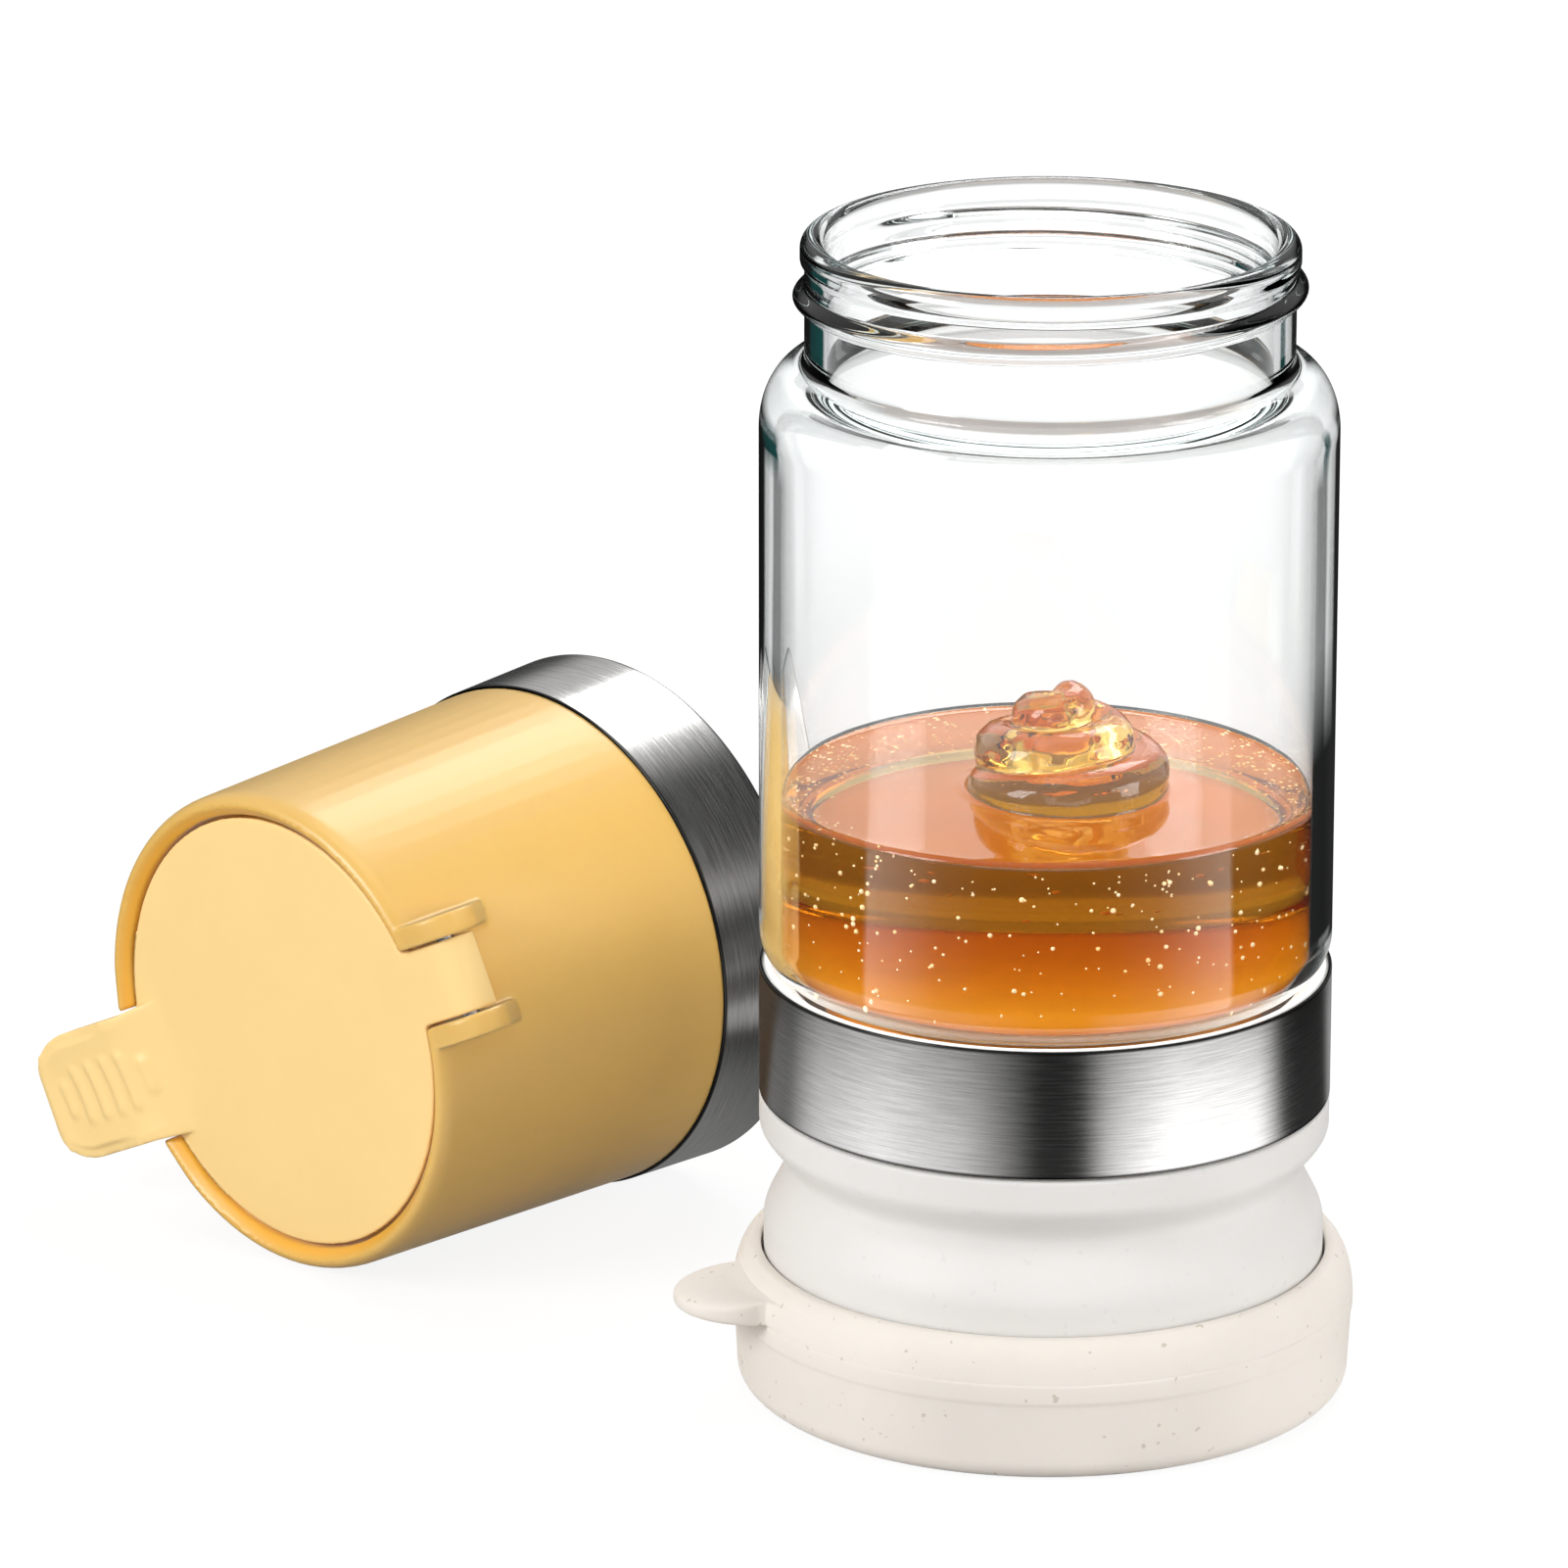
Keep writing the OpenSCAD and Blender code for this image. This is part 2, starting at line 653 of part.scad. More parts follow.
module lid_plug() {
    pocket_end = plug_end - 0.55;
    color(seal_color) lay_cap() difference() {
        union() {
            translate([0, 0, lid_under]) cylinder(r = plug_r, h = plug_end - moulded_edge - lid_under);
            translate([0, 0, plug_end - moulded_edge])
                cylinder(r1 = plug_r, r2 = plug_r - moulded_edge, h = moulded_edge);
        }
        translate([0, 0, lid_under - past]) cylinder(r = boss_r + fit_gap, h = pocket_end - lid_under + past);
    }
}

glass_jar();
base_collar();
base_band();
base_gasket();
squeeze_bulb();
base_cover();
cap_shell();
cap_band();
cap_funnel();
cap_gasket();
outlet_valve();
valve_retainer();
hinge_pin();
flip_lid();
lid_plug();
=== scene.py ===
import math
import random

import bmesh
import bpy
import numpy as np
from mathutils import Matrix, Vector


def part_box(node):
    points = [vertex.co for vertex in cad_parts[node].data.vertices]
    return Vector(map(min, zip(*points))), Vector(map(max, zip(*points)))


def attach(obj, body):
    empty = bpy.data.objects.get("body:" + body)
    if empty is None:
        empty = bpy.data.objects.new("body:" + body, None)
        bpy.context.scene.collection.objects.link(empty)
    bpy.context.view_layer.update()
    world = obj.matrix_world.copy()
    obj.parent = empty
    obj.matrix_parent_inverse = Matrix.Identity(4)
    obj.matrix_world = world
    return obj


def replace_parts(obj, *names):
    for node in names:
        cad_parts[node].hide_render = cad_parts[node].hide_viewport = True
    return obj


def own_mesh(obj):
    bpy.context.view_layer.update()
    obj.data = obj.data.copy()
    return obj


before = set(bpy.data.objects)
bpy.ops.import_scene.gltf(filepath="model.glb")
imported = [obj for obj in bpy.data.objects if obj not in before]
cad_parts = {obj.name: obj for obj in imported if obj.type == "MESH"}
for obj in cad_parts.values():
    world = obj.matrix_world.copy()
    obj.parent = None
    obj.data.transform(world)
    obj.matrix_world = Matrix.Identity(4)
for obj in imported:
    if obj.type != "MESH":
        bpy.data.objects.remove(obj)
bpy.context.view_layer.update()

# Lengths are in millimetres in the row frame, unless a comment gives metres, and become metres
# where a mesh is made.
MM = 0.001


def node_box(node):
    """Lowest and highest corner of a CAD node, in millimetres."""
    low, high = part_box(node)
    return low / MM, high / MM


# ---- sizes, from the frame where a node gives them ----

BULB_LOW, BULB_HIGH = node_box("squeeze_bulb")
BAND_LOW, BAND_HIGH = node_box("base_band")
GLASS_LOW, GLASS_HIGH = node_box("glass_jar")
COVER_HIGH_Z = node_box("base_cover")[1].z

# The glass jar, whose neck stands in from its body by NECK_IN.
JAR_R = BULB_HIGH.x
GLASS_T = 2.4
NECK_IN = 5.0
NECK_R = JAR_R - NECK_IN
NECK_IN_R = NECK_R - GLASS_T
GLASS_Z = GLASS_LOW.z
MOUTH_Z = GLASS_HIGH.z
NECK_H = 14.2
SHOULDER_H = 7.4
SHOULDER_Z = MOUTH_Z - NECK_H
BODY_TOP_Z = SHOULDER_Z - SHOULDER_H
BASE_NECK_H = 9.8
FOOT_Z = GLASS_Z + BASE_NECK_H
FOOT_ROUND = 5.2
BODY_LOW_Z = FOOT_Z + FOOT_ROUND
IN_ROUND = 4.0
IN_LOW_Z = BODY_LOW_Z - 0.4
BEAD_OUT = 1.3
RIM_OUT = 0.5

# The base: steel band, bulb, and the cover with its pull tab.
BAND_R = BAND_HIGH.x
BAND_T = 0.45
COVER_STEP_Z = 9.2
BULGE_R = JAR_R - 0.5
COVER_IN_R = BULGE_R + 0.3
COVER_R = COVER_IN_R + 3.2
TAB_ANGLE = math.radians(196)
TAB_HALF = 7.0
TAB_OUT = 8.0
TAB_T = 2.8
TAB_TOP_Z = 14.4

# The lying cap, which widens by CAP_TAPER from its lid to its open end.
CAP_L = 56.1
CAP_TAPER = 2.45
CAP_OPEN_R = JAR_R - 0.9
CAP_LID_R = CAP_OPEN_R - CAP_TAPER
CAP_BAND_H = 12.8
CAP_PLACE = (-88.2, 34.0)
CAP_TURN = math.radians(45)
CAP_ROLL = math.radians(245)
CAP_TILT = math.atan(CAP_TAPER / CAP_L)

# The honey: its surface, its foot, and the gaps that keep it and its cloudy part off the glass.
HONEY_Z = 70.0
HONEY_FOOT_Z = 33.0
HONEY_GAP = 0.08
CLOUDY_Z = 50.1
CLOUDY_GAP = 0.3


def cap_matrix():
    """Places a mesh drawn in the cap's own millimetres, lid end at z = 0, in the row frame."""
    lift = CAP_LID_R * math.cos(CAP_TILT)
    place = Matrix.Translation(Vector((CAP_PLACE[0], CAP_PLACE[1], lift)) * MM)
    turn = Matrix.Rotation(CAP_TURN, 4, "Z") @ Matrix.Rotation(math.pi / 2 - CAP_TILT, 4, "Y")
    return place @ turn @ Matrix.Rotation(CAP_ROLL, 4, "Z")


# ---- curves for profiles ----

def bow(x, y, rx, ry, start, end, steps):
    """Points along part of an ellipse, with the angles in degrees."""
    angles = np.radians(np.linspace(start, end, steps + 1))
    return [(x + rx * math.cos(a), y + ry * math.sin(a)) for a in angles]


def arc(x, y, r, start, end, steps):
    return bow(x, y, r, r, start, end, steps)


def sweep_s(p, q, steps):
    """An S-shaped blend between two points that leaves both of them upright."""
    shares = [(1 - math.cos(math.pi * i / steps)) / 2 for i in range(steps + 1)]
    wide, high = q[0] - p[0], q[1] - p[1]
    return [(p[0] + wide * s, p[1] + high * i / steps) for i, s in enumerate(shares)]


def line(p, q, steps):
    wide, high = q[0] - p[0], q[1] - p[1]
    return [(p[0] + wide * i / steps, p[1] + high * i / steps) for i in range(steps + 1)]


def rounded(points, radius, steps):
    """A closed outline with each corner rounded, and a support point beside each rounding."""
    out = []
    count = len(points)
    for i, corner in enumerate(points):
        c = np.array(corner, float)
        a = np.array(points[i - 1], float) - c
        b = np.array(points[(i + 1) % count], float) - c
        la, lb = np.linalg.norm(a), np.linalg.norm(b)
        cut = min(radius, la * 0.45, lb * 0.45)
        pa, pb = c + a / la * cut, c + b / lb * cut
        for k in range(steps + 1):
            t = k / steps
            out.append(tuple((1 - t) ** 2 * pa + 2 * t * (1 - t) * c + t ** 2 * pb))
    return out


# ---- meshes ----

def add_object(name, data):
    obj = bpy.data.objects.new(name, data)
    bpy.context.scene.collection.objects.link(obj)
    return obj


def mesh_object(name, vertices, faces):
    """A smooth mesh object from points in millimetres, with its faces turned outward."""
    mesh = bpy.data.meshes.new(name)
    mesh.from_pydata([Vector(v) * MM for v in vertices], [], faces)
    mesh.update()
    obj = add_object(name, mesh)
    bm = bmesh.new()
    bm.from_mesh(mesh)
    bmesh.ops.recalc_face_normals(bm, faces=bm.faces)
    bm.to_mesh(mesh)
    bm.free()
    mesh.shade_smooth()
    return obj


def object_from(name, bm):
    """A mesh object from a bmesh, which is freed."""
    mesh = bpy.data.meshes.new(name)
    bm.to_mesh(mesh)
    bm.free()
    return add_object(name, mesh)


def add_ball(bm, spot, radius, subdivisions, stretch=(1, 1, 1)):
    """Adds a ball to a bmesh, in millimetres."""
    matrix = Matrix.Translation(Vector(spot) * MM) @ Matrix.Diagonal((*stretch, 1))
    bmesh.ops.create_icosphere(bm, subdivisions=subdivisions, radius=radius * MM, matrix=matrix)


def even_weights(obj):
    """Shades flat stretches flat beside small roundings."""
    weigh = obj.modifiers.new("even_weights", "WEIGHTED_NORMAL")
    weigh.keep_sharp = True
    return obj


def lathe(name, outline, angles, warp=None, matrix=None):
    """Turns an outline of (radius, height) points about Z, then places it by matrix. angles is a
    count or the angles themselves. warp(angle, r, z) may move each point."""
    even = isinstance(angles, int)
    thetas = np.linspace(0, 2 * math.pi, angles, endpoint=False) if even else angles
    rows, vertices = [], []
    for r, z in outline:
        if r < 1e-6:
            rows.append([len(vertices)])
            vertices.append((0, 0, z))
            continue
        rows.append(list(range(len(vertices), len(vertices) + len(thetas))))
        for t in thetas:
            wr, wz = warp(t, r, z) if warp else (r, z)
            vertices.append((wr * math.cos(t), wr * math.sin(t), wz))
    faces = []
    closed = len(rows[0]) > 1
    pairs = list(zip(rows, rows[1:])) + ([(rows[-1], rows[0])] if closed else [])
    n = len(thetas)
    for low, high in pairs:
        for i in range(n):
            j = (i + 1) % n
            ring = [low[i % len(low)], low[j % len(low)], high[j % len(high)], high[i % len(high)]]
            unique = list(dict.fromkeys(ring))
            if len(unique) > 2:
                faces.append(unique)
    obj = mesh_object(name, vertices, faces)
    if matrix is not None:
        obj.data.transform(matrix)
    return obj


def softened(name, node, voxel, rounds, matrix, reshape=None):
    """A copy of a CAD node with its edges rounded off, as moulded pieces have them. It is worked
    in the frame that matrix places, or else the row frame, where reshape(mesh) may move its points."""
    obj = add_object(name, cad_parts[node].data.copy())
    matrix = matrix or Matrix.Identity(4)
    obj.data.transform(matrix.inverted())
    obj.data.materials.clear()
    soft_remesh(obj, voxel, rounds)
    if reshape:
        reshape(obj.data)
    obj.data.transform(matrix)
    obj.data.shade_smooth()
    return obj


def soft_remesh(obj, voxel, rounds):
    """Rebuilds a mesh in even voxels and smooths it, which rounds off its edges."""
    remesh = obj.modifiers.new("remesh", "REMESH")
    remesh.mode = "VOXEL"
    remesh.voxel_size = voxel * MM
    smooth = obj.modifiers.new("smooth", "SMOOTH")
    smooth.factor = 0.5
    smooth.iterations = rounds
    apply_modifiers(obj)


def apply_modifiers(obj):
    """Replaces an object's mesh by the one that its modifiers give."""
    bpy.context.view_layer.update()
    graph = bpy.context.evaluated_depsgraph_get()
    mesh = bpy.data.meshes.new_from_object(obj.evaluated_get(graph))
    obj.modifiers.clear()
    obj.data = mesh


def read_points(mesh):
    """A mesh's points, in millimetres, as an array."""
    flat = np.empty(len(mesh.vertices) * 3)
    mesh.vertices.foreach_get("co", flat)
    return flat.reshape(-1, 3) / MM


def write_points(mesh, points):
    mesh.vertices.foreach_set("co", (points * MM).ravel())
    mesh.update()


def step_up(values, low, high):
    """0 below low, 1 above high and a smooth step between them."""
    share = np.clip((values - low) / (high - low), 0, 1)
    return share * share * (3 - 2 * share)


# ---- materials ----

def new_material(name, color, rough, **sockets):
    """A Principled material. Socket names are given with _ for each space."""
    mat = bpy.data.materials.new(name)
    mat.use_nodes = True
    shader = mat.node_tree.nodes["Principled BSDF"]
    shader.inputs["Base Color"].default_value = (*color, 1)
    shader.inputs["Roughness"].default_value = rough
    for key, value in sockets.items():
        shader.inputs[key.replace("_", " ")].default_value = value
    return mat, mat.node_tree.nodes, mat.node_tree.links, shader


def put(links, socket, value):
    """Gives an input a constant, or links it to the output that value is."""
    if isinstance(value, bpy.types.NodeSocket):
        links.new(value, socket)
    else:
        socket.default_value = value


def coordinates(nodes, links, scale=(1, 1, 1)):
    place = nodes.new("ShaderNodeTexCoord")
    size = nodes.new("ShaderNodeMapping")
    size.inputs["Scale"].default_value = scale
    links.new(place.outputs["Object"], size.inputs["Vector"])
    return size.outputs["Vector"]


def split_xyz(nodes, links, vector):
    """The X, Y and Z of a vector."""
    split = nodes.new("ShaderNodeSeparateXYZ")
    links.new(vector, split.inputs["Vector"])
    return [split.outputs[axis] for axis in "XYZ"]


def split_local(nodes, links, matrix):
    """X, Y and Z of the place, in the frame that matrix puts in the row frame."""
    back = matrix.inverted()
    place = nodes.new("ShaderNodeTexCoord")
    local = nodes.new("ShaderNodeMapping")
    local.inputs["Location"].default_value = back.translation
    local.inputs["Rotation"].default_value = back.to_euler()
    links.new(place.outputs["Object"], local.inputs["Vector"])
    return split_xyz(nodes, links, local.outputs["Vector"])


def noise(nodes, links, vector, scale, detail, rough=0.55):
    node = nodes.new("ShaderNodeTexNoise")
    node.inputs["Scale"].default_value = scale
    node.inputs["Detail"].default_value = detail
    node.inputs["Roughness"].default_value = rough
    links.new(vector, node.inputs["Vector"])
    return node.outputs["Fac"]


def math_node(nodes, links, operation, first, second=None):
    """A Math node. second is a socket or a number."""
    node = nodes.new("ShaderNodeMath")
    node.operation = operation
    links.new(first, node.inputs[0])
    if second is not None:
        put(links, node.inputs[1], second)
    return node.outputs["Value"]


def axis_reach(nodes, links, x, y):
    """Distance from the Z axis."""
    squares = [math_node(nodes, links, "MULTIPLY", side, side) for side in (x, y)]
    return math_node(nodes, links, "SQRT", math_node(nodes, links, "ADD", *squares))


def ramp(nodes, links, factor, stops):
    """A colour ramp. Each stop is (place, colour)."""
    node = nodes.new("ShaderNodeValToRGB")
    for i, (at, color) in enumerate(stops):
        stop = node.color_ramp.elements[i] if i < 2 else node.color_ramp.elements.new(at)
        stop.position = at
        stop.color = (*color, 1)
    links.new(factor, node.inputs["Fac"])
    return node.outputs["Color"]


def map_range(nodes, links, value, low, high, to_low=0.0, to_high=1.0):
    """Maps a value from low..high to to_low..to_high, and holds it within them."""
    node = nodes.new("ShaderNodeMapRange")
    ends = {"From Min": low, "From Max": high, "To Min": to_low, "To Max": to_high}
    for key, end in ends.items():
        node.inputs[key].default_value = end
    links.new(value, node.inputs["Value"])
    return node.outputs["Result"]


def spread(nodes, links, factor, low, high):
    """Maps a factor from 0..1 to low..high."""
    return map_range(nodes, links, factor, 0.0, 1.0, low, high)


def mix_color(nodes, links, factor, first, second, blend="MIX"):
    """A Mix node for colours. Each input is a socket or a constant."""
    node = nodes.new("ShaderNodeMix")
    node.data_type = "RGBA"
    node.blend_type = blend
    for key, value in (("Factor", factor), ("A", first), ("B", second)):
        put(links, node.inputs[key], value)
    return node.outputs["Result"]


def mix_shader(nodes, links, share, first, second):
    """A Mix Shader node. Where second is None, nothing is mixed in."""
    node = nodes.new("ShaderNodeMixShader")
    links.new(share, node.inputs["Fac"])
    links.new(first, node.inputs[1])
    if second is not None:
        links.new(second, node.inputs[2])
    return node.outputs["Shader"]


def bump(nodes, links, height, depth, strength, shader):
    node = nodes.new("ShaderNodeBump")
    node.inputs["Distance"].default_value = depth * MM
    node.inputs["Strength"].default_value = strength
    links.new(height, node.inputs["Height"])
    links.new(node.outputs["Normal"], shader.inputs["Normal"])


def absorb(nodes, links, color, density):
    """Lets the inside of a clear piece take up light."""
    tint = nodes.new("ShaderNodeVolumeAbsorption")
    tint.inputs["Color"].default_value = (*color, 1)
    tint.inputs["Density"].default_value = density
    links.new(tint.outputs["Volume"], nodes["Material Output"].inputs["Volume"])


def shade(color, share):
    return tuple(c * share for c in color)


def mottled(nodes, links, cloud, color, share):
    """A colour that a noise makes darker and lighter by a share."""
    return ramp(nodes, links, cloud, [(0.3, shade(color, 1 - share)), (0.7, shade(color, 1 + share))])


def moulded_plastic(name, color, rough):
    """Moulded plastic: soft mottling, faint orange peel and a slightly uneven gloss."""
    mat, nodes, links, shader = new_material(name, color, rough)
    place = coordinates(nodes, links)
    cloud = noise(nodes, links, place, 70, 5, 0.6)
    links.new(mottled(nodes, links, cloud, color, 0.014), shader.inputs["Base Color"])
    grain = noise(nodes, links, place, 1400, 3, 0.5)
    links.new(spread(nodes, links, grain, rough - 0.04, rough + 0.06), shader.inputs["Roughness"])
    bump(nodes, links, grain, 0.02, 0.35, shader)
    return mat


def soft_silicone(name, color, rough, speck_color, speck_share, mottle=0.02):
    """Silicone rubber: matte, faintly see-through at the surface, with tiny specks."""
    mat, nodes, links, shader = new_material(
        name, color, rough, Subsurface_Weight=0.15, Subsurface_Radius=(0.004, 0.003, 0.002),
        Subsurface_Scale=0.5, Sheen_Weight=0.08,
    )
    place = coordinates(nodes, links)
    body = mottled(nodes, links, noise(nodes, links, place, 55, 4), color, mottle)
    specks = noise(nodes, links, place, 900, 1, 0.4)
    stops = [(1 - speck_share, (0, 0, 0)), (min(1, 1.03 - speck_share), (1, 1, 1))]
    mask = ramp(nodes, links, specks, stops)
    links.new(mix_color(nodes, links, mask, body, (*speck_color, 1)), shader.inputs["Base Color"])
    grain = noise(nodes, links, place, 1800, 2, 0.5)
    links.new(spread(nodes, links, grain, rough - 0.05, rough + 0.08), shader.inputs["Roughness"])
    bump(nodes, links, grain, 0.03, 0.4, shader)
    return mat


# Brushing strokes per radian round a ring, and per metre across it.
BRUSH_SCALE = (4.5, 4200, 1)


def brushed_steel(name, color, rough, matrix=None, edges=()):
    """Steel brushed round a ring whose own frame is placed by matrix: fine lines that run along
    the circumference, and dark lines of painted shade at the heights in edges, for the gaps
    beside the ring."""
    mat, nodes, links, shader = new_material(
        name, color, rough, Metallic=1.0, Anisotropic=0.35, Anisotropic_Rotation=0.25,
    )
    matrix = matrix or Matrix.Identity(4)
    x, y, z = split_local(nodes, links, matrix)
    around = math_node(nodes, links, "ARCTAN2", y, x)
    join = nodes.new("ShaderNodeCombineXYZ")
    links.new(around, join.inputs["X"])
    links.new(z, join.inputs["Y"])
    size = nodes.new("ShaderNodeMapping")
    size.inputs["Scale"].default_value = BRUSH_SCALE
    links.new(join.outputs["Vector"], size.inputs["Vector"])
    lines = noise(nodes, links, size.outputs["Vector"], 1.0, 6, 0.7)
    tint = ramp(nodes, links, lines, [(0.28, shade(color, 0.66)), (0.72, shade(color, 1.17))])
    # Painted shade: a dark line at each of these heights, for the gap beside the ring there.
    for edge in edges:
        off = math_node(nodes, links, "SUBTRACT", z, edge * MM)
        away = math_node(nodes, links, "ABSOLUTE", off)
        mask = map_range(nodes, links, away, 0.16 * MM, 0.42 * MM, 0.06)
        tint = mix_color(nodes, links, 1.0, tint, mask, "MULTIPLY")
    links.new(tint, shader.inputs["Base Color"])
    links.new(spread(nodes, links, lines, rough - 0.06, rough + 0.08), shader.inputs["Roughness"])
    bump(nodes, links, lines, 0.01, 0.35, shader)
    # The tangent runs round the ring: its axis crossed with the surface's normal.
    surface = nodes.new("ShaderNodeNewGeometry")
    cross = nodes.new("ShaderNodeVectorMath")
    cross.operation = "CROSS_PRODUCT"
    cross.inputs[0].default_value = matrix.to_3x3() @ Vector((0, 0, 1))
    links.new(surface.outputs["True Normal"], cross.inputs[1])
    links.new(cross.outputs["Vector"], shader.inputs["Tangent"])
    return mat


def clear_glass():
    """Pressed glass, a little wavy, with a faint green-blue tint where it is thick."""
    mat, nodes, links, shader = new_material("glass", (1, 1, 1), 0.0, Transmission_Weight=1.0, IOR=1.5)
    waves = noise(nodes, links, coordinates(nodes, links, (1, 1, 0.35)), 60, 2, 0.4)
    bump(nodes, links, waves, 0.4, 0.12, shader)
    absorb(nodes, links, (0.35, 0.80, 0.76), 9.0)
    return mat


def amber_honey():
    """Clear honey, deeper in colour where the poured rope lies coiled on top."""
    clear, coiled = (1.0, 0.97, 0.9), (1.0, 0.80, 0.36)
    mat, nodes, links, shader = new_material(
        "honey", clear, 0.0, Transmission_Weight=1.0, IOR=1.49, Specular_Tint=(0.8, 0.8, 0.8, 1),
    )
    _, _, z = split_xyz(nodes, links, coordinates(nodes, links))
    above = map_range(nodes, links, z, (HONEY_Z + 0.9) * MM, (HONEY_Z + 2.4) * MM)
    links.new(ramp(nodes, links, above, [(0.0, clear), (1.0, coiled)]), shader.inputs["Base Color"])
    swirl = noise(nodes, links, coordinates(nodes, links, (1, 1, 0.6)), 90, 3, 0.5)
    bump(nodes, links, swirl, 0.3, 0.1, shader)
    absorb(nodes, links, (0.84, 0.665, 0.12), 100.0)
    return mat


def settled_honey():
    """The cloudy honey's surface, painted darker low on its walls and lighter toward its top:
    painted shade and painted light.
    """
    # Painted shade and light: low is the walls' darker colour down low, high and top the lighter colour
    # toward the top.
    low, high, top = (0.72, 0.175, 0.008), (0.96, 0.36, 0.010), (0.86, 0.45, 0.035)
    mat, nodes, links, shader = new_material("settled_honey", low, 0.5, Specular_IOR_Level=0.06)
    place = coordinates(nodes, links)
    _, _, z = split_xyz(nodes, links, place)
    height = map_range(nodes, links, z, (CLOUDY_Z - 10.0) * MM, CLOUDY_Z * MM)
    tone = ramp(nodes, links, height, [(0.0, low), (0.8, high), (0.96, high), (0.995, top)])
    cloud = noise(nodes, links, place, 60, 4)
    grey = ramp(nodes, links, cloud, [(0.3, (0.86, 0.86, 0.86)), (0.7, (1.0, 1.0, 1.0))])
    links.new(mix_color(nodes, links, 1.0, tone, grey, "MULTIPLY"), shader.inputs["Base Color"])
    bump(nodes, links, cloud, 0.3, 0.2, shader)
    return mat


# ---- jar ----

def thread_ridge(theta, z):
    """How far the helical thread stands out of the upper neck at an angle and height."""
    half, pitch, front_z = 1.25, 2.6, MOUTH_Z - 6.1
    # In degrees round the neck from the jar's front, which is at -90 degrees.
    start, end, fade = -262.0, 232.0, 30.0
    front = (math.degrees(theta) + 90.0 + 180.0) % 360.0 - 180.0
    out = 0.0
    for along in (front - 360.0, front, front + 360.0):
        reach = min(along - start, end - along) / fade
        off = abs(z - front_z - pitch * along / 360.0) / half
        if reach > 0 and off < 1:
            out += BEAD_OUT * min(1.0, reach) * math.cos(off * math.pi / 2) ** 1.1
    return min(out, BEAD_OUT)


def glass_outline():
    """From the foot of the lower neck up the outside, over the rim and down the inside."""
    edge = 0.6
    rim_r = NECK_R + RIM_OUT
    rim_round = (GLASS_T + RIM_OUT) / 2 - 0.1
    rim_low = MOUTH_Z - 3.4
    in_top_r = NECK_IN_R + edge
    in_r = JAR_R - GLASS_T
    outside = arc(in_top_r, GLASS_Z + edge, edge, 180, 270, 4)
    outside += arc(NECK_R - edge, GLASS_Z + edge, edge, -90, 0, 4)
    outside += line((NECK_R, GLASS_Z + 1.5), (NECK_R, FOOT_Z - 0.4), 12)
    outside += arc(JAR_R - FOOT_ROUND, BODY_LOW_Z, FOOT_ROUND, -76, 0, 16)
    outside += line((JAR_R, BODY_LOW_Z + 0.4), (JAR_R, BODY_TOP_Z - 0.4), 12)
    outside += bow(NECK_R, BODY_TOP_Z, NECK_IN, SHOULDER_H, 0, 80, 20)
    outside += [(NECK_R + 0.35, SHOULDER_Z + 0.15), (NECK_R + 0.08, SHOULDER_Z + 0.45)]
    outside += line((NECK_R, SHOULDER_Z + 0.8), (NECK_R, rim_low), 68)
    outside += sweep_s((NECK_R, rim_low), (rim_r, rim_low + 0.9), 6)[1:]
    rim = arc(rim_r - rim_round, MOUTH_Z - rim_round, rim_round, 0, 180, 18)
    inside = sweep_s((rim_r - 2 * rim_round, MOUTH_Z - rim_round - 0.3), (NECK_IN_R, rim_low), 5)
    inside += line((NECK_IN_R, rim_low - 0.4), (NECK_IN_R, SHOULDER_Z - 1.2), 14)
    inside += [(NECK_IN_R + 0.12, SHOULDER_Z - 1.7)]
    inside += bow(in_top_r, BODY_TOP_Z - edge, in_r - in_top_r, SHOULDER_H - GLASS_T, 82, 0, 18)
    inside += line((in_r, BODY_TOP_Z - 1.2), (in_r, IN_LOW_Z + 0.4), 12)
    inside += arc(in_r - IN_ROUND, IN_LOW_Z, IN_ROUND, 0, -78, 14)
    inside += arc(NECK_IN_R + 0.9, IN_LOW_Z - IN_ROUND - 0.9, 0.9, 96, 180, 5)
    inside += line((NECK_IN_R, IN_LOW_Z - IN_ROUND - 1.4), (NECK_IN_R, GLASS_Z + 1), 6)
    return outside + rim + inside


def glass_warp(theta, r, z):
    """Adds the thread to the points on the outside of the upper neck."""
    on_neck = NECK_R - 0.01 < r < NECK_R + 0.01 and SHOULDER_Z < z < MOUTH_Z - 3.3
    return (r + thread_ridge(theta, z), z) if on_neck else (r, z)


def make_glass():
    glass = lathe("glass_body", glass_outline(), 256, glass_warp)
    glass.data.materials.append(clear_glass())
    glass.visible_shadow = False
    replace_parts(glass, "glass_jar")
    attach(glass, "jar")


# ---- honey ----

COIL_CENTRE = (2.0, 0.0)


def coil_path():
    """Centre line and radius of the last rope of honey poured, which winds in and up."""
    steps, turns = 170, 2.6
    points = []
    for i in range(steps + 1):
        share = i / steps
        turn = math.radians(150) + share * turns * 2 * math.pi
        reach = 10.4 * (1 - share) ** 0.85 * (0.8 + 0.2 * min(1.0, share * 6)) + 0.5
        lift = 0.4 + 9.6 * share ** 1.1
        rope = (3.3 + 0.4 * math.sin(share * 17)) * (0.4 + 0.6 * min(1.0, share * 7)) * (1 - 0.25 * share)
        points.append((
            COIL_CENTRE[0] + reach * math.cos(turn), COIL_CENTRE[1] + reach * math.sin(turn),
            HONEY_Z + lift, rope,
        ))
    return points


def make_coil():
    """The mound of coiled honey, as one closed mesh that stands in the honey's surface."""
    bm = bmesh.new()
    for x, y, z, rope in coil_path():
        add_ball(bm, (x, y, z), rope, 2)
    add_ball(bm, (*COIL_CENTRE, HONEY_Z - 1.0), 1.0, 4, (15.5, 14.0, 1.7))
    coil = object_from("coil", bm)
    soft_remesh(coil, 0.3, 4)
    return coil


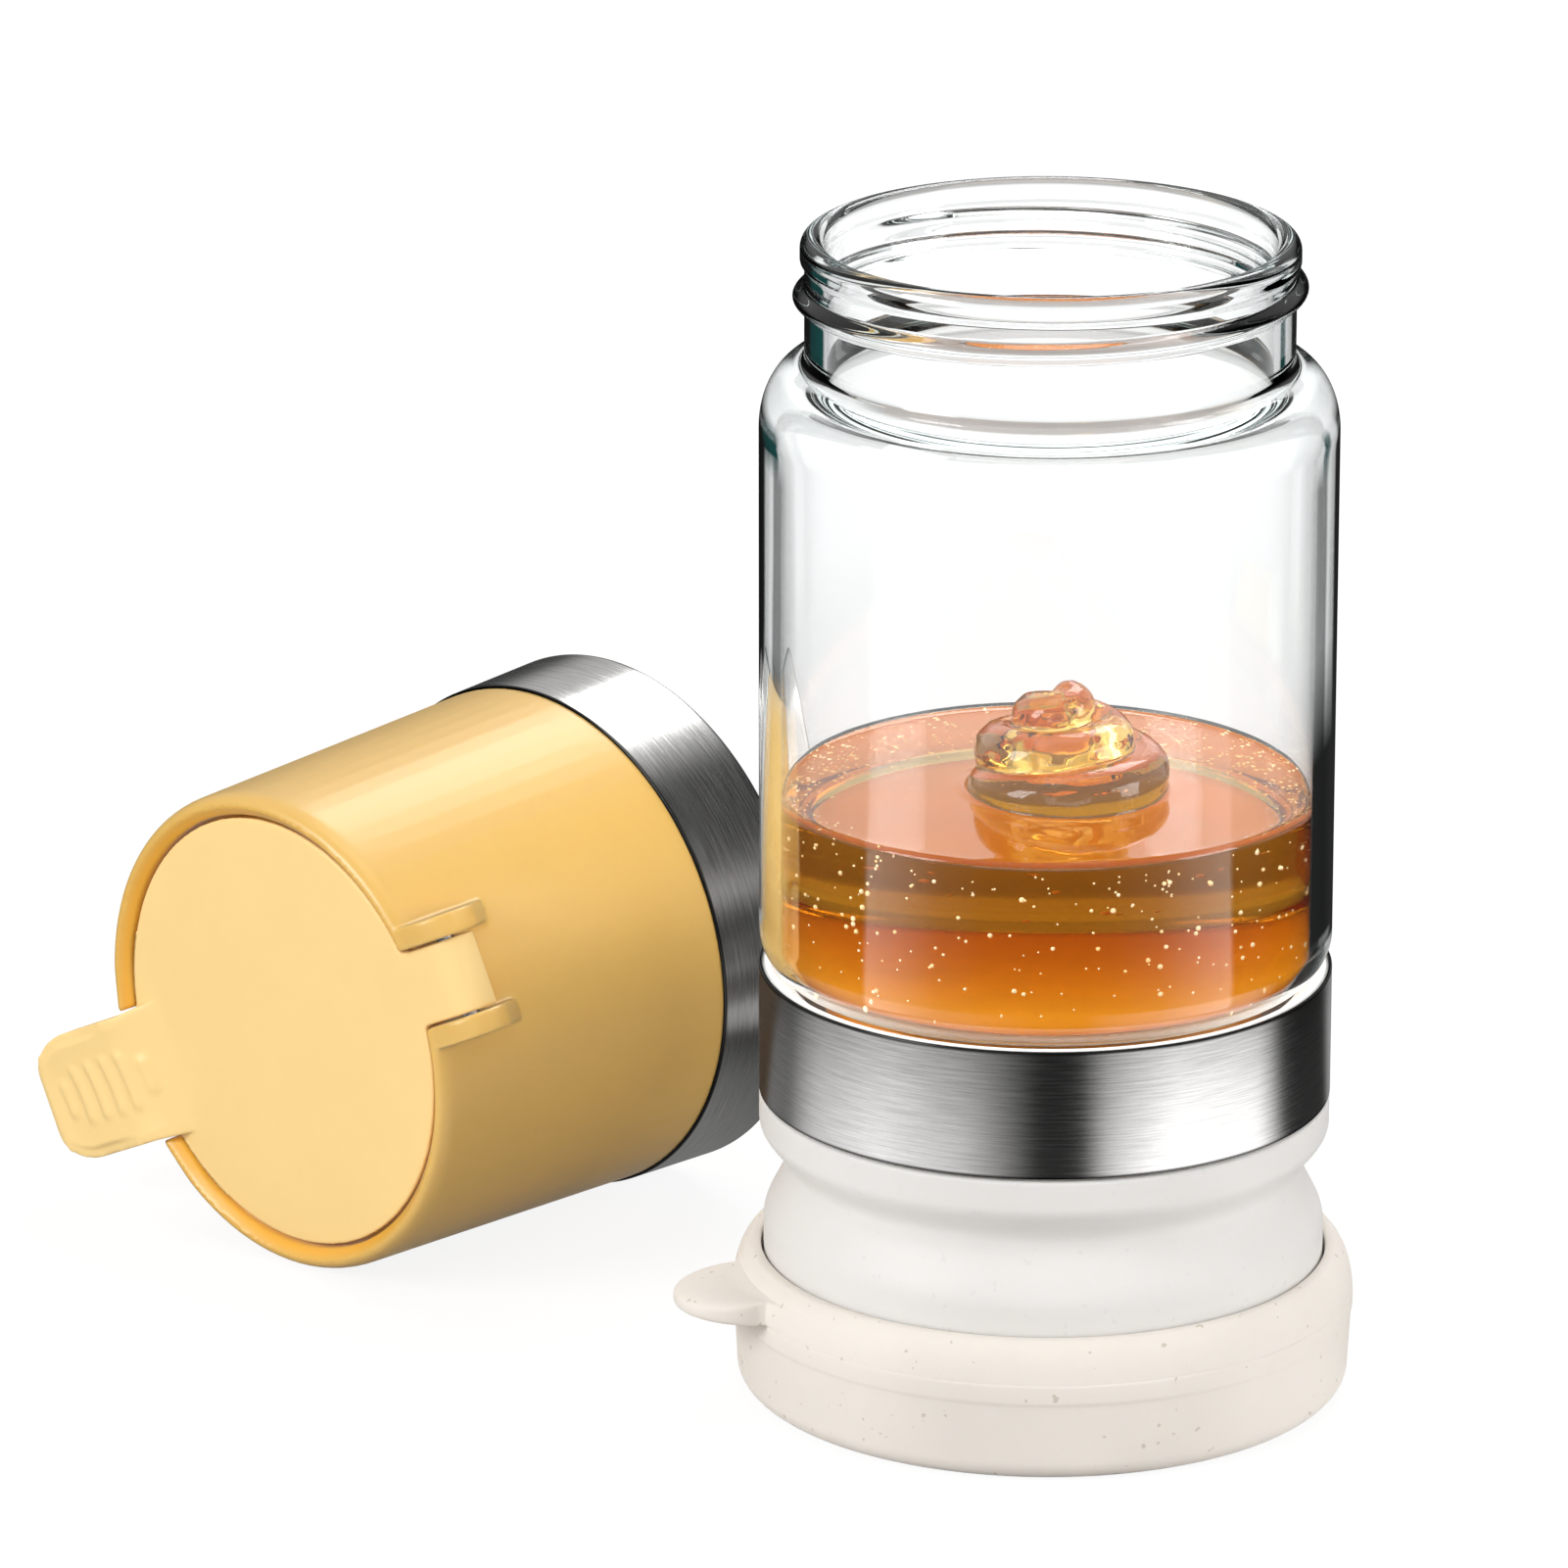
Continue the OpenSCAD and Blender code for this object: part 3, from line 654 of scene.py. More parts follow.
def honey_outline(low_z, gap):
    """The honey's outline from the middle of its foot at low_z up its wall, and the wall's radius."""
    wall = JAR_R - GLASS_T - gap
    neck = NECK_IN_R - gap
    in_round = IN_ROUND - gap
    outline = [(0, low_z)] + line((neck - 0.6, low_z), (neck, low_z + 0.6), 3)
    outline += line((neck, low_z + 1), (neck, IN_LOW_Z - in_round - 1.2), 8)
    outline += arc(neck + 0.9, IN_LOW_Z - in_round - 0.9, 0.9, 180, 96, 5)
    outline += arc(wall - in_round, IN_LOW_Z, in_round, -78, 0, 14)
    return outline, wall


def top_rings(radius, z, count):
    """Outline points from the wall in to the middle of a flat top."""
    return [(radius * (1 - i / count), z) for i in range(count)] + [(0, z)]


def make_honey():
    outline, wall = honey_outline(HONEY_FOOT_Z, HONEY_GAP)
    outline += line((wall, BODY_LOW_Z + 1.4), (wall, HONEY_Z - 0.5), 14)
    outline += top_rings(wall, HONEY_Z, 60)
    honey = lathe("honey", outline, 224)
    # The surface creeps a little way up the glass.
    creep_h, creep_w = 0.55, 0.55
    points = read_points(honey.data)
    top = points[:, 2] > HONEY_Z - 0.01
    creep = creep_h * np.exp(-(wall - np.hypot(points[:, 0], points[:, 1])) / creep_w)
    points[top, 2] += creep[top]
    write_points(honey.data, points)

    coil = make_coil()
    union = honey.modifiers.new("union", "BOOLEAN")
    union.operation = "UNION"
    union.solver = "EXACT"
    union.object = coil
    apply_modifiers(honey)
    bpy.data.objects.remove(coil)
    honey.data.shade_smooth()
    honey.data.materials.clear()
    honey.data.materials.append(amber_honey())
    honey.visible_shadow = False
    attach(honey, "jar")


def make_settled_honey():
    """Deep down, in the neck and at the foot, honey looks cloudy rather than clear."""
    outline, _ = honey_outline(HONEY_FOOT_Z + 0.2, CLOUDY_GAP)
    outline = [p for p in outline if p[1] < CLOUDY_Z - 0.1]
    outline += top_rings(outline[-1][0], CLOUDY_Z, 12)
    cloudy = lathe("honey_settled", outline, 128)
    cloudy.data.materials.append(settled_honey())
    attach(cloudy, "jar")


def make_bubbles():
    """Small air bubbles near the glass, all through the clear honey, drawn as opaque pale-gold
    balls whose colour is painted glints.
    """
    rng = random.Random(7)
    bm = bmesh.new()
    for _ in range(560):
        turn = rng.uniform(0, 2 * math.pi)
        height = 51.0 + 18.0 * rng.random() ** 0.85
        reach = 29.15 - 4.0 * rng.random() ** 2.5
        size = 0.11 + 0.22 * rng.random() ** 2
        add_ball(bm, (reach * math.cos(turn), reach * math.sin(turn), height), size, 2)
    bubbles = object_from("honey_bubbles", bm)
    bubbles.data.shade_smooth()
    # Painted glints: the bubbles' pale gold stands in for the light they catch.
    mat, nodes, links, shader = new_material("bubble", (1.0, 0.86, 0.55), 0.15)
    cloud = noise(nodes, links, coordinates(nodes, links), 300, 2)
    stops = [(0.3, (1.0, 0.78, 0.42)), (0.7, (1.0, 0.93, 0.74))]
    links.new(ramp(nodes, links, cloud, stops), shader.inputs["Base Color"])
    bubbles.data.materials.append(mat)
    bubbles.visible_shadow = False
    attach(bubbles, "jar")


# ---- base ----

def make_band(color, rough):
    low, high = BAND_LOW.z, BAND_HIGH.z
    inner = BAND_R - BAND_T
    corners = [(inner, low), (BAND_R, low), (BAND_R, high), (inner, high)]
    band = lathe("base_band_steel", rounded(corners, 0.16, 4), 256)
    # Painted shade darkens the band's top and bottom, for the gaps beside it.
    band.data.materials.append(brushed_steel("base_steel", color, rough, edges=(low, high)))
    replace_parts(even_weights(band), "base_band")
    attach(band, "jar")


def bulb_outline():
    """From the middle of its floor up the outside to the lip and back down the inside."""
    low, high = BULB_LOW.z, BULB_HIGH.z
    waist_r = JAR_R - 2.8
    waist, bulge, skirt = low + 23.4, low + 16.6, high - 3.2
    corner = 3.5
    lip_r = 27.2
    in_r = BULGE_R - 2.0
    in_corner = corner - 0.8
    outside = [(0, low)] + line((6, low), (BULGE_R - corner - 0.6, low), 6)
    outside += arc(BULGE_R - corner, low + corner, corner, -88, 0, 14)
    outside += line((BULGE_R, low + corner + 1), (BULGE_R, bulge - 1), 6)
    outside += sweep_s((BULGE_R, bulge), (waist_r, waist), 20)
    outside += sweep_s((waist_r, waist + 0.4), (JAR_R, skirt), 20)
    outside += line((JAR_R, skirt + 0.4), (JAR_R, high - 0.9), 4)
    outside += arc(JAR_R - 0.5, high - 0.5, 0.5, 0, 90, 5)
    inside = [(lip_r + 0.4, high), (lip_r + 0.1, high - 0.1), (lip_r, high - 0.4)]
    inside += line((lip_r, high - 1), (lip_r, waist), 6)
    inside += sweep_s((lip_r, waist - 0.4), (in_r, bulge - 0.4), 10)
    inside += arc(in_r - in_corner, low + 2 + in_corner, in_corner, 0, -88, 8)
    inside += [(6, low + 2), (0, low + 2)]
    return outside + inside


def make_bulb():
    bulb = lathe("bulb_skin", bulb_outline(), 224)
    silicone = soft_silicone("white_silicone", (0.78, 0.76, 0.735), 0.5, (0.74, 0.72, 0.70), 0.27)
    bulb.data.materials.append(silicone)
    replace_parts(bulb, "squeeze_bulb")
    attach(bulb, "bulb")
    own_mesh(bulb)


def tab_reach(theta, wall):
    """How far the pull tab's outline stands out of the cover's wall at an angle."""
    fillet = 1.3
    around = (theta - TAB_ANGLE + math.pi) % (2 * math.pi) - math.pi
    tip = COVER_R + TAB_OUT - TAB_HALF
    edge = math.asin(TAB_HALF / tip)
    if abs(around) < edge:
        tip_round = math.sqrt(TAB_HALF ** 2 - (tip * math.sin(around)) ** 2)
        return tip * math.cos(around) + tip_round - wall
    return (tip * math.cos(edge) - wall) * math.exp(-(abs(around) - edge) * COVER_R / fillet)


def tab_swell(z):
    """Share of the tab's reach at a height, round at its upper and lower edges."""
    squareness = 3.4
    middle = TAB_TOP_Z - TAB_T / 2
    off = abs(z - middle) / (TAB_T / 2)
    return (1 - off ** squareness) ** (1 / squareness) if off < 1 else 0.0


def cover_outline():
    """From the middle of its floor up the outside to the rim and back down the inside. Its points
    lie closer together at the pull tab's edges."""
    corner, floor_t, inner_corner = 2.4, 2.0, 3.5
    low_r = COVER_R - 0.5
    rim_r = COVER_IN_R + 0.6
    upper_z = COVER_STEP_Z + 1
    upper_h = COVER_HIGH_Z - upper_z

    def wall_r(z):
        return rim_r + (COVER_R - rim_r) * math.sqrt(max(0, 1 - ((z - upper_z) / upper_h) ** 2))

    outside = [(0, 0)] + line((6, 0), (low_r - corner - 0.5, 0), 6)
    outside += arc(low_r - corner, corner, corner, -88, 0, 14)
    outside += line((low_r + 0.02, corner + 0.6), (COVER_R - 0.16, COVER_STEP_Z - 0.25), 8)
    outside += [(COVER_R - 0.13, COVER_STEP_Z - 0.05), (COVER_R - 0.02, COVER_STEP_Z + 0.15)]
    outside += [(COVER_R, COVER_STEP_Z + 0.4), (COVER_R, upper_z)]
    tab_low = TAB_TOP_Z - TAB_T
    heights = list(np.linspace(upper_z + 0.3, tab_low, 4))
    rows = 30
    angles = [math.pi * (i / rows - 0.5) for i in range(rows + 1)]
    middle = TAB_TOP_Z - TAB_T / 2
    heights += [middle + TAB_T / 2 * math.copysign(abs(math.sin(a)) ** 0.62, a) for a in angles]
    heights += list(np.linspace(TAB_TOP_Z + 0.1, COVER_HIGH_Z - 0.35, 10))
    outside += [(wall_r(z), z) for z in heights]
    top_r = wall_r(COVER_HIGH_Z - 0.35)
    top = [(top_r - 0.18, COVER_HIGH_Z - 0.12), (top_r - 0.45, COVER_HIGH_Z)]
    top += [(COVER_IN_R + 0.25, COVER_HIGH_Z), (COVER_IN_R + 0.06, COVER_HIGH_Z - 0.08)]
    top += [(COVER_IN_R, COVER_HIGH_Z - 0.3)]
    turn_z = floor_t + 0.3 + inner_corner
    inside = line((COVER_IN_R, COVER_HIGH_Z - 1), (COVER_IN_R, turn_z), 6)
    inside += arc(COVER_IN_R - 0.3 - inner_corner, turn_z, inner_corner + 0.3, -6, -84, 8)
    inside += [(6, floor_t), (0, floor_t)]
    return outside + top + inside


def cover_angles():
    """Evenly spaced angles, with many more about the pull tab."""
    near = math.radians(17)
    wide = np.linspace(TAB_ANGLE + near, TAB_ANGLE + 2 * math.pi - near, 190)
    close = [TAB_ANGLE + near * math.copysign(abs(s) ** 0.9, s) for s in np.linspace(-1, 1, 122)[1:-1]]
    return np.array(sorted([a % (2 * math.pi) for a in list(wide) + close]))


def cover_warp(theta, r, z):
    """Draws the pull tab out of the cover's outer wall."""
    if r < COVER_IN_R + 0.3 or not TAB_TOP_Z - TAB_T < z < TAB_TOP_Z:
        return r, z
    return r + tab_reach(theta, r) * tab_swell(z), z


def make_cover():
    cover = lathe("cover_skin", cover_outline(), cover_angles(), cover_warp)
    cover.data.materials.append(
        soft_silicone("beige_silicone", (0.815, 0.76, 0.695), 0.62, (0.62, 0.56, 0.48), 0.268, 0.03)
    )
    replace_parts(cover, "base_cover")
    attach(cover, "cover")


# ---- cap ----

# The thumb tab, in the cap's own millimetres, where it points along -X and its face looks along -Z.
# TAB_OLD_* are its half width, its tip and its corners' radius in CAD. A ramp leads from the lid's
# face to the tab's.
TAB_W = 7.65
TAB_TIP_X = 44.0
TAB_OLD_W, TAB_OLD_TIP, TAB_OLD_ROUND = 8.0, 43.05, 6.0
RAMP_START_X, RAMP_L = 19.7, 9.0
LID_TOP_Z, TAB_FACE_Z = 1.2, -1.8
RIBS_X = (24.6, 27.4, 30.4, 33.4, 36.4, 39.3)
RIB_HALF_W, RIB_H, DISH_DEPTH = 1.35, 0.36, 0.6


def tab_face(x):
    """Height of the lid's face along the ramp and out along the thumb tab, before its dish."""
    ramp_share = np.clip((-x - RAMP_START_X) / RAMP_L, 0, 1)
    return LID_TOP_Z + (TAB_FACE_Z - LID_TOP_Z) * (1 - np.cos(math.pi * ramp_share)) / 2


def shape_tab(mesh):
    """Gives the thumb tab its round tip, its dished face and its soft grip ribs."""
    points = read_points(mesh)
    x, y, z = points.T
    old_corner = TAB_OLD_TIP - TAB_OLD_ROUND
    past_old = np.clip(-x - old_corner, 0, TAB_OLD_ROUND)
    old_w = TAB_OLD_W - TAB_OLD_ROUND + np.sqrt(TAB_OLD_ROUND ** 2 - past_old ** 2)
    tip_share = past_old / TAB_OLD_ROUND
    new_w = TAB_W * (0.12 + 0.88 * np.sqrt(1 - tip_share ** 2 * 0.985))
    on_tab = step_up(-x, 22.0, 27.0)
    y = y * (1 + (new_w / old_w - 1) * on_tab)
    stretch = (TAB_TIP_X - old_corner) / TAB_OLD_ROUND
    x = np.where(-x > old_corner, -old_corner + (x + old_corner) * stretch, x)

    # Beside the ramp the lid's face rises with it, less and less away from it.
    face = tab_face(x)
    rise = (LID_TOP_Z - face) * (1 - step_up(np.abs(y), TAB_W - 1.0, TAB_W + 4.0))
    rise *= 1 - step_up(np.hypot(x, y), 21.5, 24.8)
    beside = (z < LID_TOP_Z + 0.9) & (-x > RAMP_START_X) & (-x < 25.6) & (np.abs(y) > TAB_W - 1.0)
    z = np.where(beside, np.minimum(z, LID_TOP_Z - rise), z)

    # The dish, which keeps clear of the tab's edge, and the ribs in it.
    dish_start, dish_end = 21.0, 42.4
    round_share = np.clip(-x - 36.5, 0, None) / 7.5
    inside_w = TAB_W * np.sqrt(np.clip(1 - round_share ** 2, 0.02, 1))
    across = np.clip(1 - (y / (inside_w - 1.1)) ** 2, 0, 1)
    along = step_up(-x, dish_start, 29.0) * step_up(dish_end + x, 0.0, 2.6)
    dish = DISH_DEPTH * across ** 0.8 * along
    ribs = np.zeros_like(x)
    for i, rib_x in enumerate(RIBS_X):
        half_l = 2.4 if i in (0, len(RIBS_X) - 1) else 3.7
        off = np.abs(x + rib_x - 0.11 * y - 0.012 * (half_l ** 2 - y ** 2)) / RIB_HALF_W
        profile = np.where(off < 1, np.cos(off * math.pi / 2) ** 2, 0)
        ribs += RIB_H * profile * step_up(half_l - np.abs(y), -0.5, 0.9)
    inner = inside_w - 0.9 - np.abs(y)
    own = (z < face + 1.35) & (-x > dish_start) & (-x < dish_end) & (inner > 0)
    blend = step_up(inner, 0.0, 0.7) * step_up(dish_end + x, 0.0, 0.8) * step_up(-x, dish_start, 22.5)
    z = np.where(own, z + (face + dish - ribs - z) * blend, z)
    write_points(mesh, np.stack([x, y, z], axis=1))


def close_notch(mesh):
    """Draws the rim's two ends in towards the narrower thumb tab."""
    points = read_points(mesh)
    x, y, z = points.T
    near = step_up(-x, 18.0, 23.0) * step_up(6.0 - z, 0.0, 3.0) * step_up(14.0 - np.abs(y), 0.0, 4.0)
    points[:, 1] = y * (1 - 0.045 * near)
    write_points(mesh, points)


def shell_material(color, rough):
    """The shell's plastic, with a painted deeper orange in the groove round the lid, for the
    colour that bounced light takes there.
    """
    mat = moulded_plastic("yellow_plastic", color, rough)
    nodes, links = mat.node_tree.nodes, mat.node_tree.links
    shader = nodes["Principled BSDF"]
    for socket, value in (
        ("Sheen Weight", 0.15), ("Sheen Roughness", 0.35), ("Sheen Tint", (1.0, 0.96, 0.88, 1)),
        ("Coat Weight", 0.6), ("Coat Roughness", 0.32), ("Subsurface Weight", 0.12),
        ("Subsurface Radius", (0.004, 0.0018, 0.0004)), ("Subsurface Scale", 0.5),
    ):
        shader.inputs[socket].default_value = value
    x, y, z = split_local(nodes, links, cap_matrix())
    # Painted light: a deep orange mixed into the colour in the groove, for light bounced inside it.
    groove = map_range(nodes, links, axis_reach(nodes, links, x, y), 27.5 * MM, 26.4 * MM)
    high = map_range(nodes, links, z, 4.2 * MM, 3.2 * MM)
    mask = math_node(nodes, links, "MULTIPLY", groove, high)
    plain = shader.inputs["Base Color"].links[0].from_socket
    links.new(mix_color(nodes, links, mask, plain, (0.93, 0.46, 0.03, 1)), shader.inputs["Base Color"])
    return mat


def make_cap(steel_color, steel_rough, lid_plastic, seal, white):
    place = cap_matrix()

    def side_r(z):
        return CAP_LID_R + CAP_TAPER * z / CAP_L

    shell = softened("cap_shell_moulded", "cap_shell", 0.3, 5, place, close_notch)
    # The shell and the lid are one yellow plastic: this deeper, darker copy of it is painted shade, the
    # lid's paler one painted light.
    shell.data.materials.append(shell_material((0.775, 0.48, 0.12), 0.4))
    shell.visible_glossy = False
    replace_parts(shell, "cap_shell")
    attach(shell, "cap")

    start = CAP_L - CAP_BAND_H
    corners = [
        (side_r(start) - BAND_T, start), (side_r(start), start),
        (side_r(CAP_L), CAP_L), (side_r(CAP_L) - BAND_T, CAP_L),
    ]
    band = lathe("cap_band_steel", rounded(corners, 0.16, 4), 256, matrix=place)
    # Painted shade darkens the cap band's two ends, for the gaps beside them.
    steel = brushed_steel("cap_steel", steel_color, steel_rough, place, (start, CAP_L))
    band.data.materials.append(steel)
    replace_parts(even_weights(band), "cap_band")
    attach(band, "cap")

    lid = softened("lid_moulded", "flip_lid", 0.25, 5, place, shape_tab)
    lid.data.materials.append(lid_plastic)
    lid.visible_glossy = False
    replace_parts(lid, "flip_lid")
    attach(lid, "lid")

    for name, node, body, voxel in (
        ("lid_plug_soft", "lid_plug", "lid", 0.15), ("valve_soft", "outlet_valve", "cap", 0.15),
        ("cap_gasket_soft", "cap_gasket", "cap", 0.3), ("base_gasket_soft", "base_gasket", "jar", 0.3),
    ):
        piece = softened(name, node, voxel, 3, place if body != "jar" else None)
        piece.data.materials.append(seal)
        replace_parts(piece, node)
        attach(piece, body)

    for node in ("cap_funnel", "valve_retainer", "base_collar"):
        paint_node(node, white)


def paint_node(node, material):
    """Gives a carried-over CAD node its material, with smooth round faces."""
    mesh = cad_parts[node].data
    mesh.materials.clear()
    mesh.materials.append(material)
    mesh.shade_smooth()
    mesh.set_sharp_from_angle(angle=math.radians(28))


# ---- stage, lights and camera ----

# What reflections see round the horizon, by azimuth in degrees from the camera's side, + to its
# right. The dark stretches are flags, as studios use for glass and steel. On the floor, outer
# surfaces see RING_OUTER; surfaces inside glass and honey see RING_INNER, then RING_MIDDLE and
# RING_FAR further out. Above the floor, outer surfaces see RING_HORIZON and inner ones RING_FAR.
RING_OUTER = (
    (-180, 0.03), (-166, 0.1), (-150, 0.2), (-112, 0.16), (-94, 0.8), (-62, 1.35), (-30, 0.85),
    (-14, 0.3), (-5, 0.02), (13, 0.02), (22, 1.05), (48, 2.2), (84, 1.7), (98, 0.03), (137, 0.03),
    (148, 0.4), (168, 0.3), (176, 0.03),
)
RING_INNER = (
    (-180, 0.02), (-78, 0.02), (-76, 1.7), (-62, 1.2), (-44, 0.3), (-26, 0.08), (26, 0.08), (44, 0.3),
    (62, 1.2), (76, 1.7), (78, 0.02),
)
RING_MIDDLE = (
    (-180, 0.01), (-162, 0.01), (-158, 0.95), (-148, 0.95), (-145, 0.15), (-140, 0.2), (-120, 0.95),
    (-77, 0.95), (-75, 1.9), (75, 1.9), (77, 0.95), (120, 0.95), (140, 0.2), (145, 0.15), (148, 0.95),
    (158, 0.95), (162, 0.01),
)
TEAL = (0.010, 0.065, 0.062)
RING_FAR = (
    (-180, 0.01), (-162, 0.01), (-158, TEAL), (-142, TEAL), (-139, 0.8), (-20, 1.2), (20, 1.2),
    (120, 0.9), (140, 0.9), (142, TEAL), (147, TEAL), (150, 0.95), (158, 0.95), (162, 0.01),
)
RING_HORIZON = ((-180, 0.02), (-78, 0.02), (-76, 0.14), (76, 0.14), (78, 0.02))

# Distances from the jar's axis, in metres, over which the floor changes what it shows: where clear
# pieces begin to see its glow, where the glow grows to its full share, where its mirrored flags
# dim, and where one ring takes over from the one before.
CLEAR_OF_FOOT = (0.19, 0.235)
GLOW_GROWS = (0.20, 0.50)
FLAGS_DIM = (0.150, 0.168)
RING_STARTS = ((RING_MIDDLE, (0.25, 0.30)), (RING_FAR, (0.385, 0.40)))


def flag_glow(nodes, links, x, y, table, kind="ShaderNodeEmission"):
    """A shader that glows as a table says for the direction (x, y) from the middle."""
    minus_y = math_node(nodes, links, "MULTIPLY", y, -1.0)
    around = math_node(nodes, links, "ARCTAN2", x, minus_y)
    turn = map_range(nodes, links, around, -math.pi, math.pi)
    colors = [(angle, v if isinstance(v, tuple) else (v,) * 3) for angle, v in table]
    top = max(max(color) for _, color in colors)
    stops = [(angle / 360 + 0.5, shade(color, 1 / top)) for angle, color in colors]
    glow = nodes.new(kind)
    links.new(ramp(nodes, links, turn, stops), glow.inputs["Color"])
    glow.inputs["Strength"].default_value = top
    return glow.outputs[0]


def inside_glass(nodes, links, light_path):
    """1 for a ray that has gone into glass or honey, else 0."""
    return math_node(nodes, links, "MINIMUM", light_path.outputs["Transmission Depth"], 1.0)


def reflected(nodes, links, light_path):
    """1 for a ray that has been mirrored by steel, glass or honey, else 0."""
    mirrored = math_node(nodes, links, "MINIMUM", light_path.outputs["Glossy Depth"], 1.0)
    sharp = math_node(nodes, links, "SUBTRACT", mirrored, light_path.outputs["Is Diffuse Ray"])
    return math_node(nodes, links, "MAXIMUM", sharp, 0.0)


def make_floor():
    half = 4000
    corners = [(-half, -half, 0), (half, -half, 0), (half, half, 0), (-half, half, 0)]
    floor = mesh_object("floor", corners, [(0, 1, 2, 3)])
    camera_tone, bounce_tone = (0.94, 0.94, 0.94, 1), (0.50, 0.495, 0.49, 1)
    mat, nodes, links, shader = new_material("floor", camera_tone[:3], 0.8, Specular_IOR_Level=0.05)
    light_path = nodes.new("ShaderNodeLightPath")
    to_camera = light_path.outputs["Is Camera Ray"]
    through = light_path.outputs["Is Transmission Ray"]
    place = nodes.new("ShaderNodeNewGeometry")
    x, y, _ = split_xyz(nodes, links, place.outputs["Position"])
    reach = axis_reach(nodes, links, x, y)
    # To light that bounces, the floor is greyer than to the camera, so undersides stay shaded.
    tone = mix_color(nodes, links, to_camera, bounce_tone, camera_tone)
    links.new(tone, shader.inputs["Base Color"])
    # Close to the object only the camera sees the glow: clear pieces show the shade at their foot.
    glow = nodes.new("ShaderNodeEmission")
    links.new(spread(nodes, links, through, 1.05, 1.16), glow.inputs["Strength"])
    far = map_range(nodes, links, reach, *CLEAR_OF_FOOT)
    far_through = math_node(nodes, links, "MULTIPLY", through, far)
    seen = math_node(nodes, links, "MAXIMUM", to_camera, far_through)
    grown = map_range(nodes, links, reach, *GLOW_GROWS, 0.84)
    share = math_node(nodes, links, "MULTIPLY", seen, grown)
    plain = mix_shader(nodes, links, share, shader.outputs["BSDF"], glow.outputs["Emission"])

    dim = map_range(nodes, links, reach, *FLAGS_DIM, 0.0, 0.93)
    outer = mix_shader(nodes, links, dim, flag_glow(nodes, links, x, y, RING_OUTER), None)
    inner = flag_glow(nodes, links, x, y, RING_INNER)
    for table, start in RING_STARTS:
        out = map_range(nodes, links, reach, *start)
        inner = mix_shader(nodes, links, out, inner, flag_glow(nodes, links, x, y, table))
    mirror = mix_shader(nodes, links, inside_glass(nodes, links, light_path), outer, inner)
    both = mix_shader(nodes, links, reflected(nodes, links, light_path), plain, mirror)
    links.new(both, nodes["Material Output"].inputs["Surface"])
    floor.data.materials.append(mat)


def background(nodes, strength):
    node = nodes.new("ShaderNodeBackground")
    node.inputs["Color"].default_value = (0.8, 0.8, 0.8, 1)
    node.inputs["Strength"].default_value = strength
    return node


def make_world():
    """A white studio, in which reflections near the horizon see the flags."""
    world = bpy.data.worlds.new("studio")
    bpy.context.scene.world = world
    world.use_nodes = True
    nodes, links = world.node_tree.nodes, world.node_tree.links
    base = nodes["Background"]
    base.inputs["Color"].default_value = (1, 1, 1, 1)
    base.inputs["Strength"].default_value = 0.36
    white, sky, flagged = [background(nodes, strength) for strength in (1.1, 1.6, 1.0)]
    place = nodes.new("ShaderNodeTexCoord").outputs["Generated"]
    x, y, z = split_xyz(nodes, links, place)
    light_path = nodes.new("ShaderNodeLightPath")
    # A flag high up on the right draws the dark stripe round the lying cap's steel.
    toward = nodes.new("ShaderNodeVectorMath")
    toward.operation = "DOT_PRODUCT"
    links.new(place, toward.inputs[0])
    toward.inputs[1].default_value = Vector((0.80, 0.18, 0.57)).normalized()
    edge, middle = math.cos(math.radians(30)), math.cos(math.radians(19))
    clear_of = map_range(nodes, links, toward.outputs["Value"], edge, middle, 0.62, 0.03)
    links.new(clear_of, flagged.inputs["Strength"])
    tops = []
    heights = ((RING_HORIZON, 0.12, 0.32, flagged), (RING_FAR, 0.06, 0.22, sky))
    for table, low, high, above in heights:
        overhead = map_range(nodes, links, z, low, high)
        flags = flag_glow(nodes, links, x, y, table, "ShaderNodeBackground")
        tops.append(mix_shader(nodes, links, overhead, flags, above.outputs["Background"]))
    mirror = mix_shader(nodes, links, inside_glass(nodes, links, light_path), *tops)

    mirrored = reflected(nodes, links, light_path)
    plain = mix_shader(nodes, links, mirrored, base.outputs["Background"], mirror)
    through = light_path.outputs["Is Transmission Ray"]
    clear = math_node(nodes, links, "SUBTRACT", through, mirrored)
    seen = math_node(nodes, links, "MAXIMUM", light_path.outputs["Is Camera Ray"], clear)
    both = mix_shader(nodes, links, seen, plain, white.outputs["Background"])
    links.new(both, nodes["World Output"].inputs["Surface"])


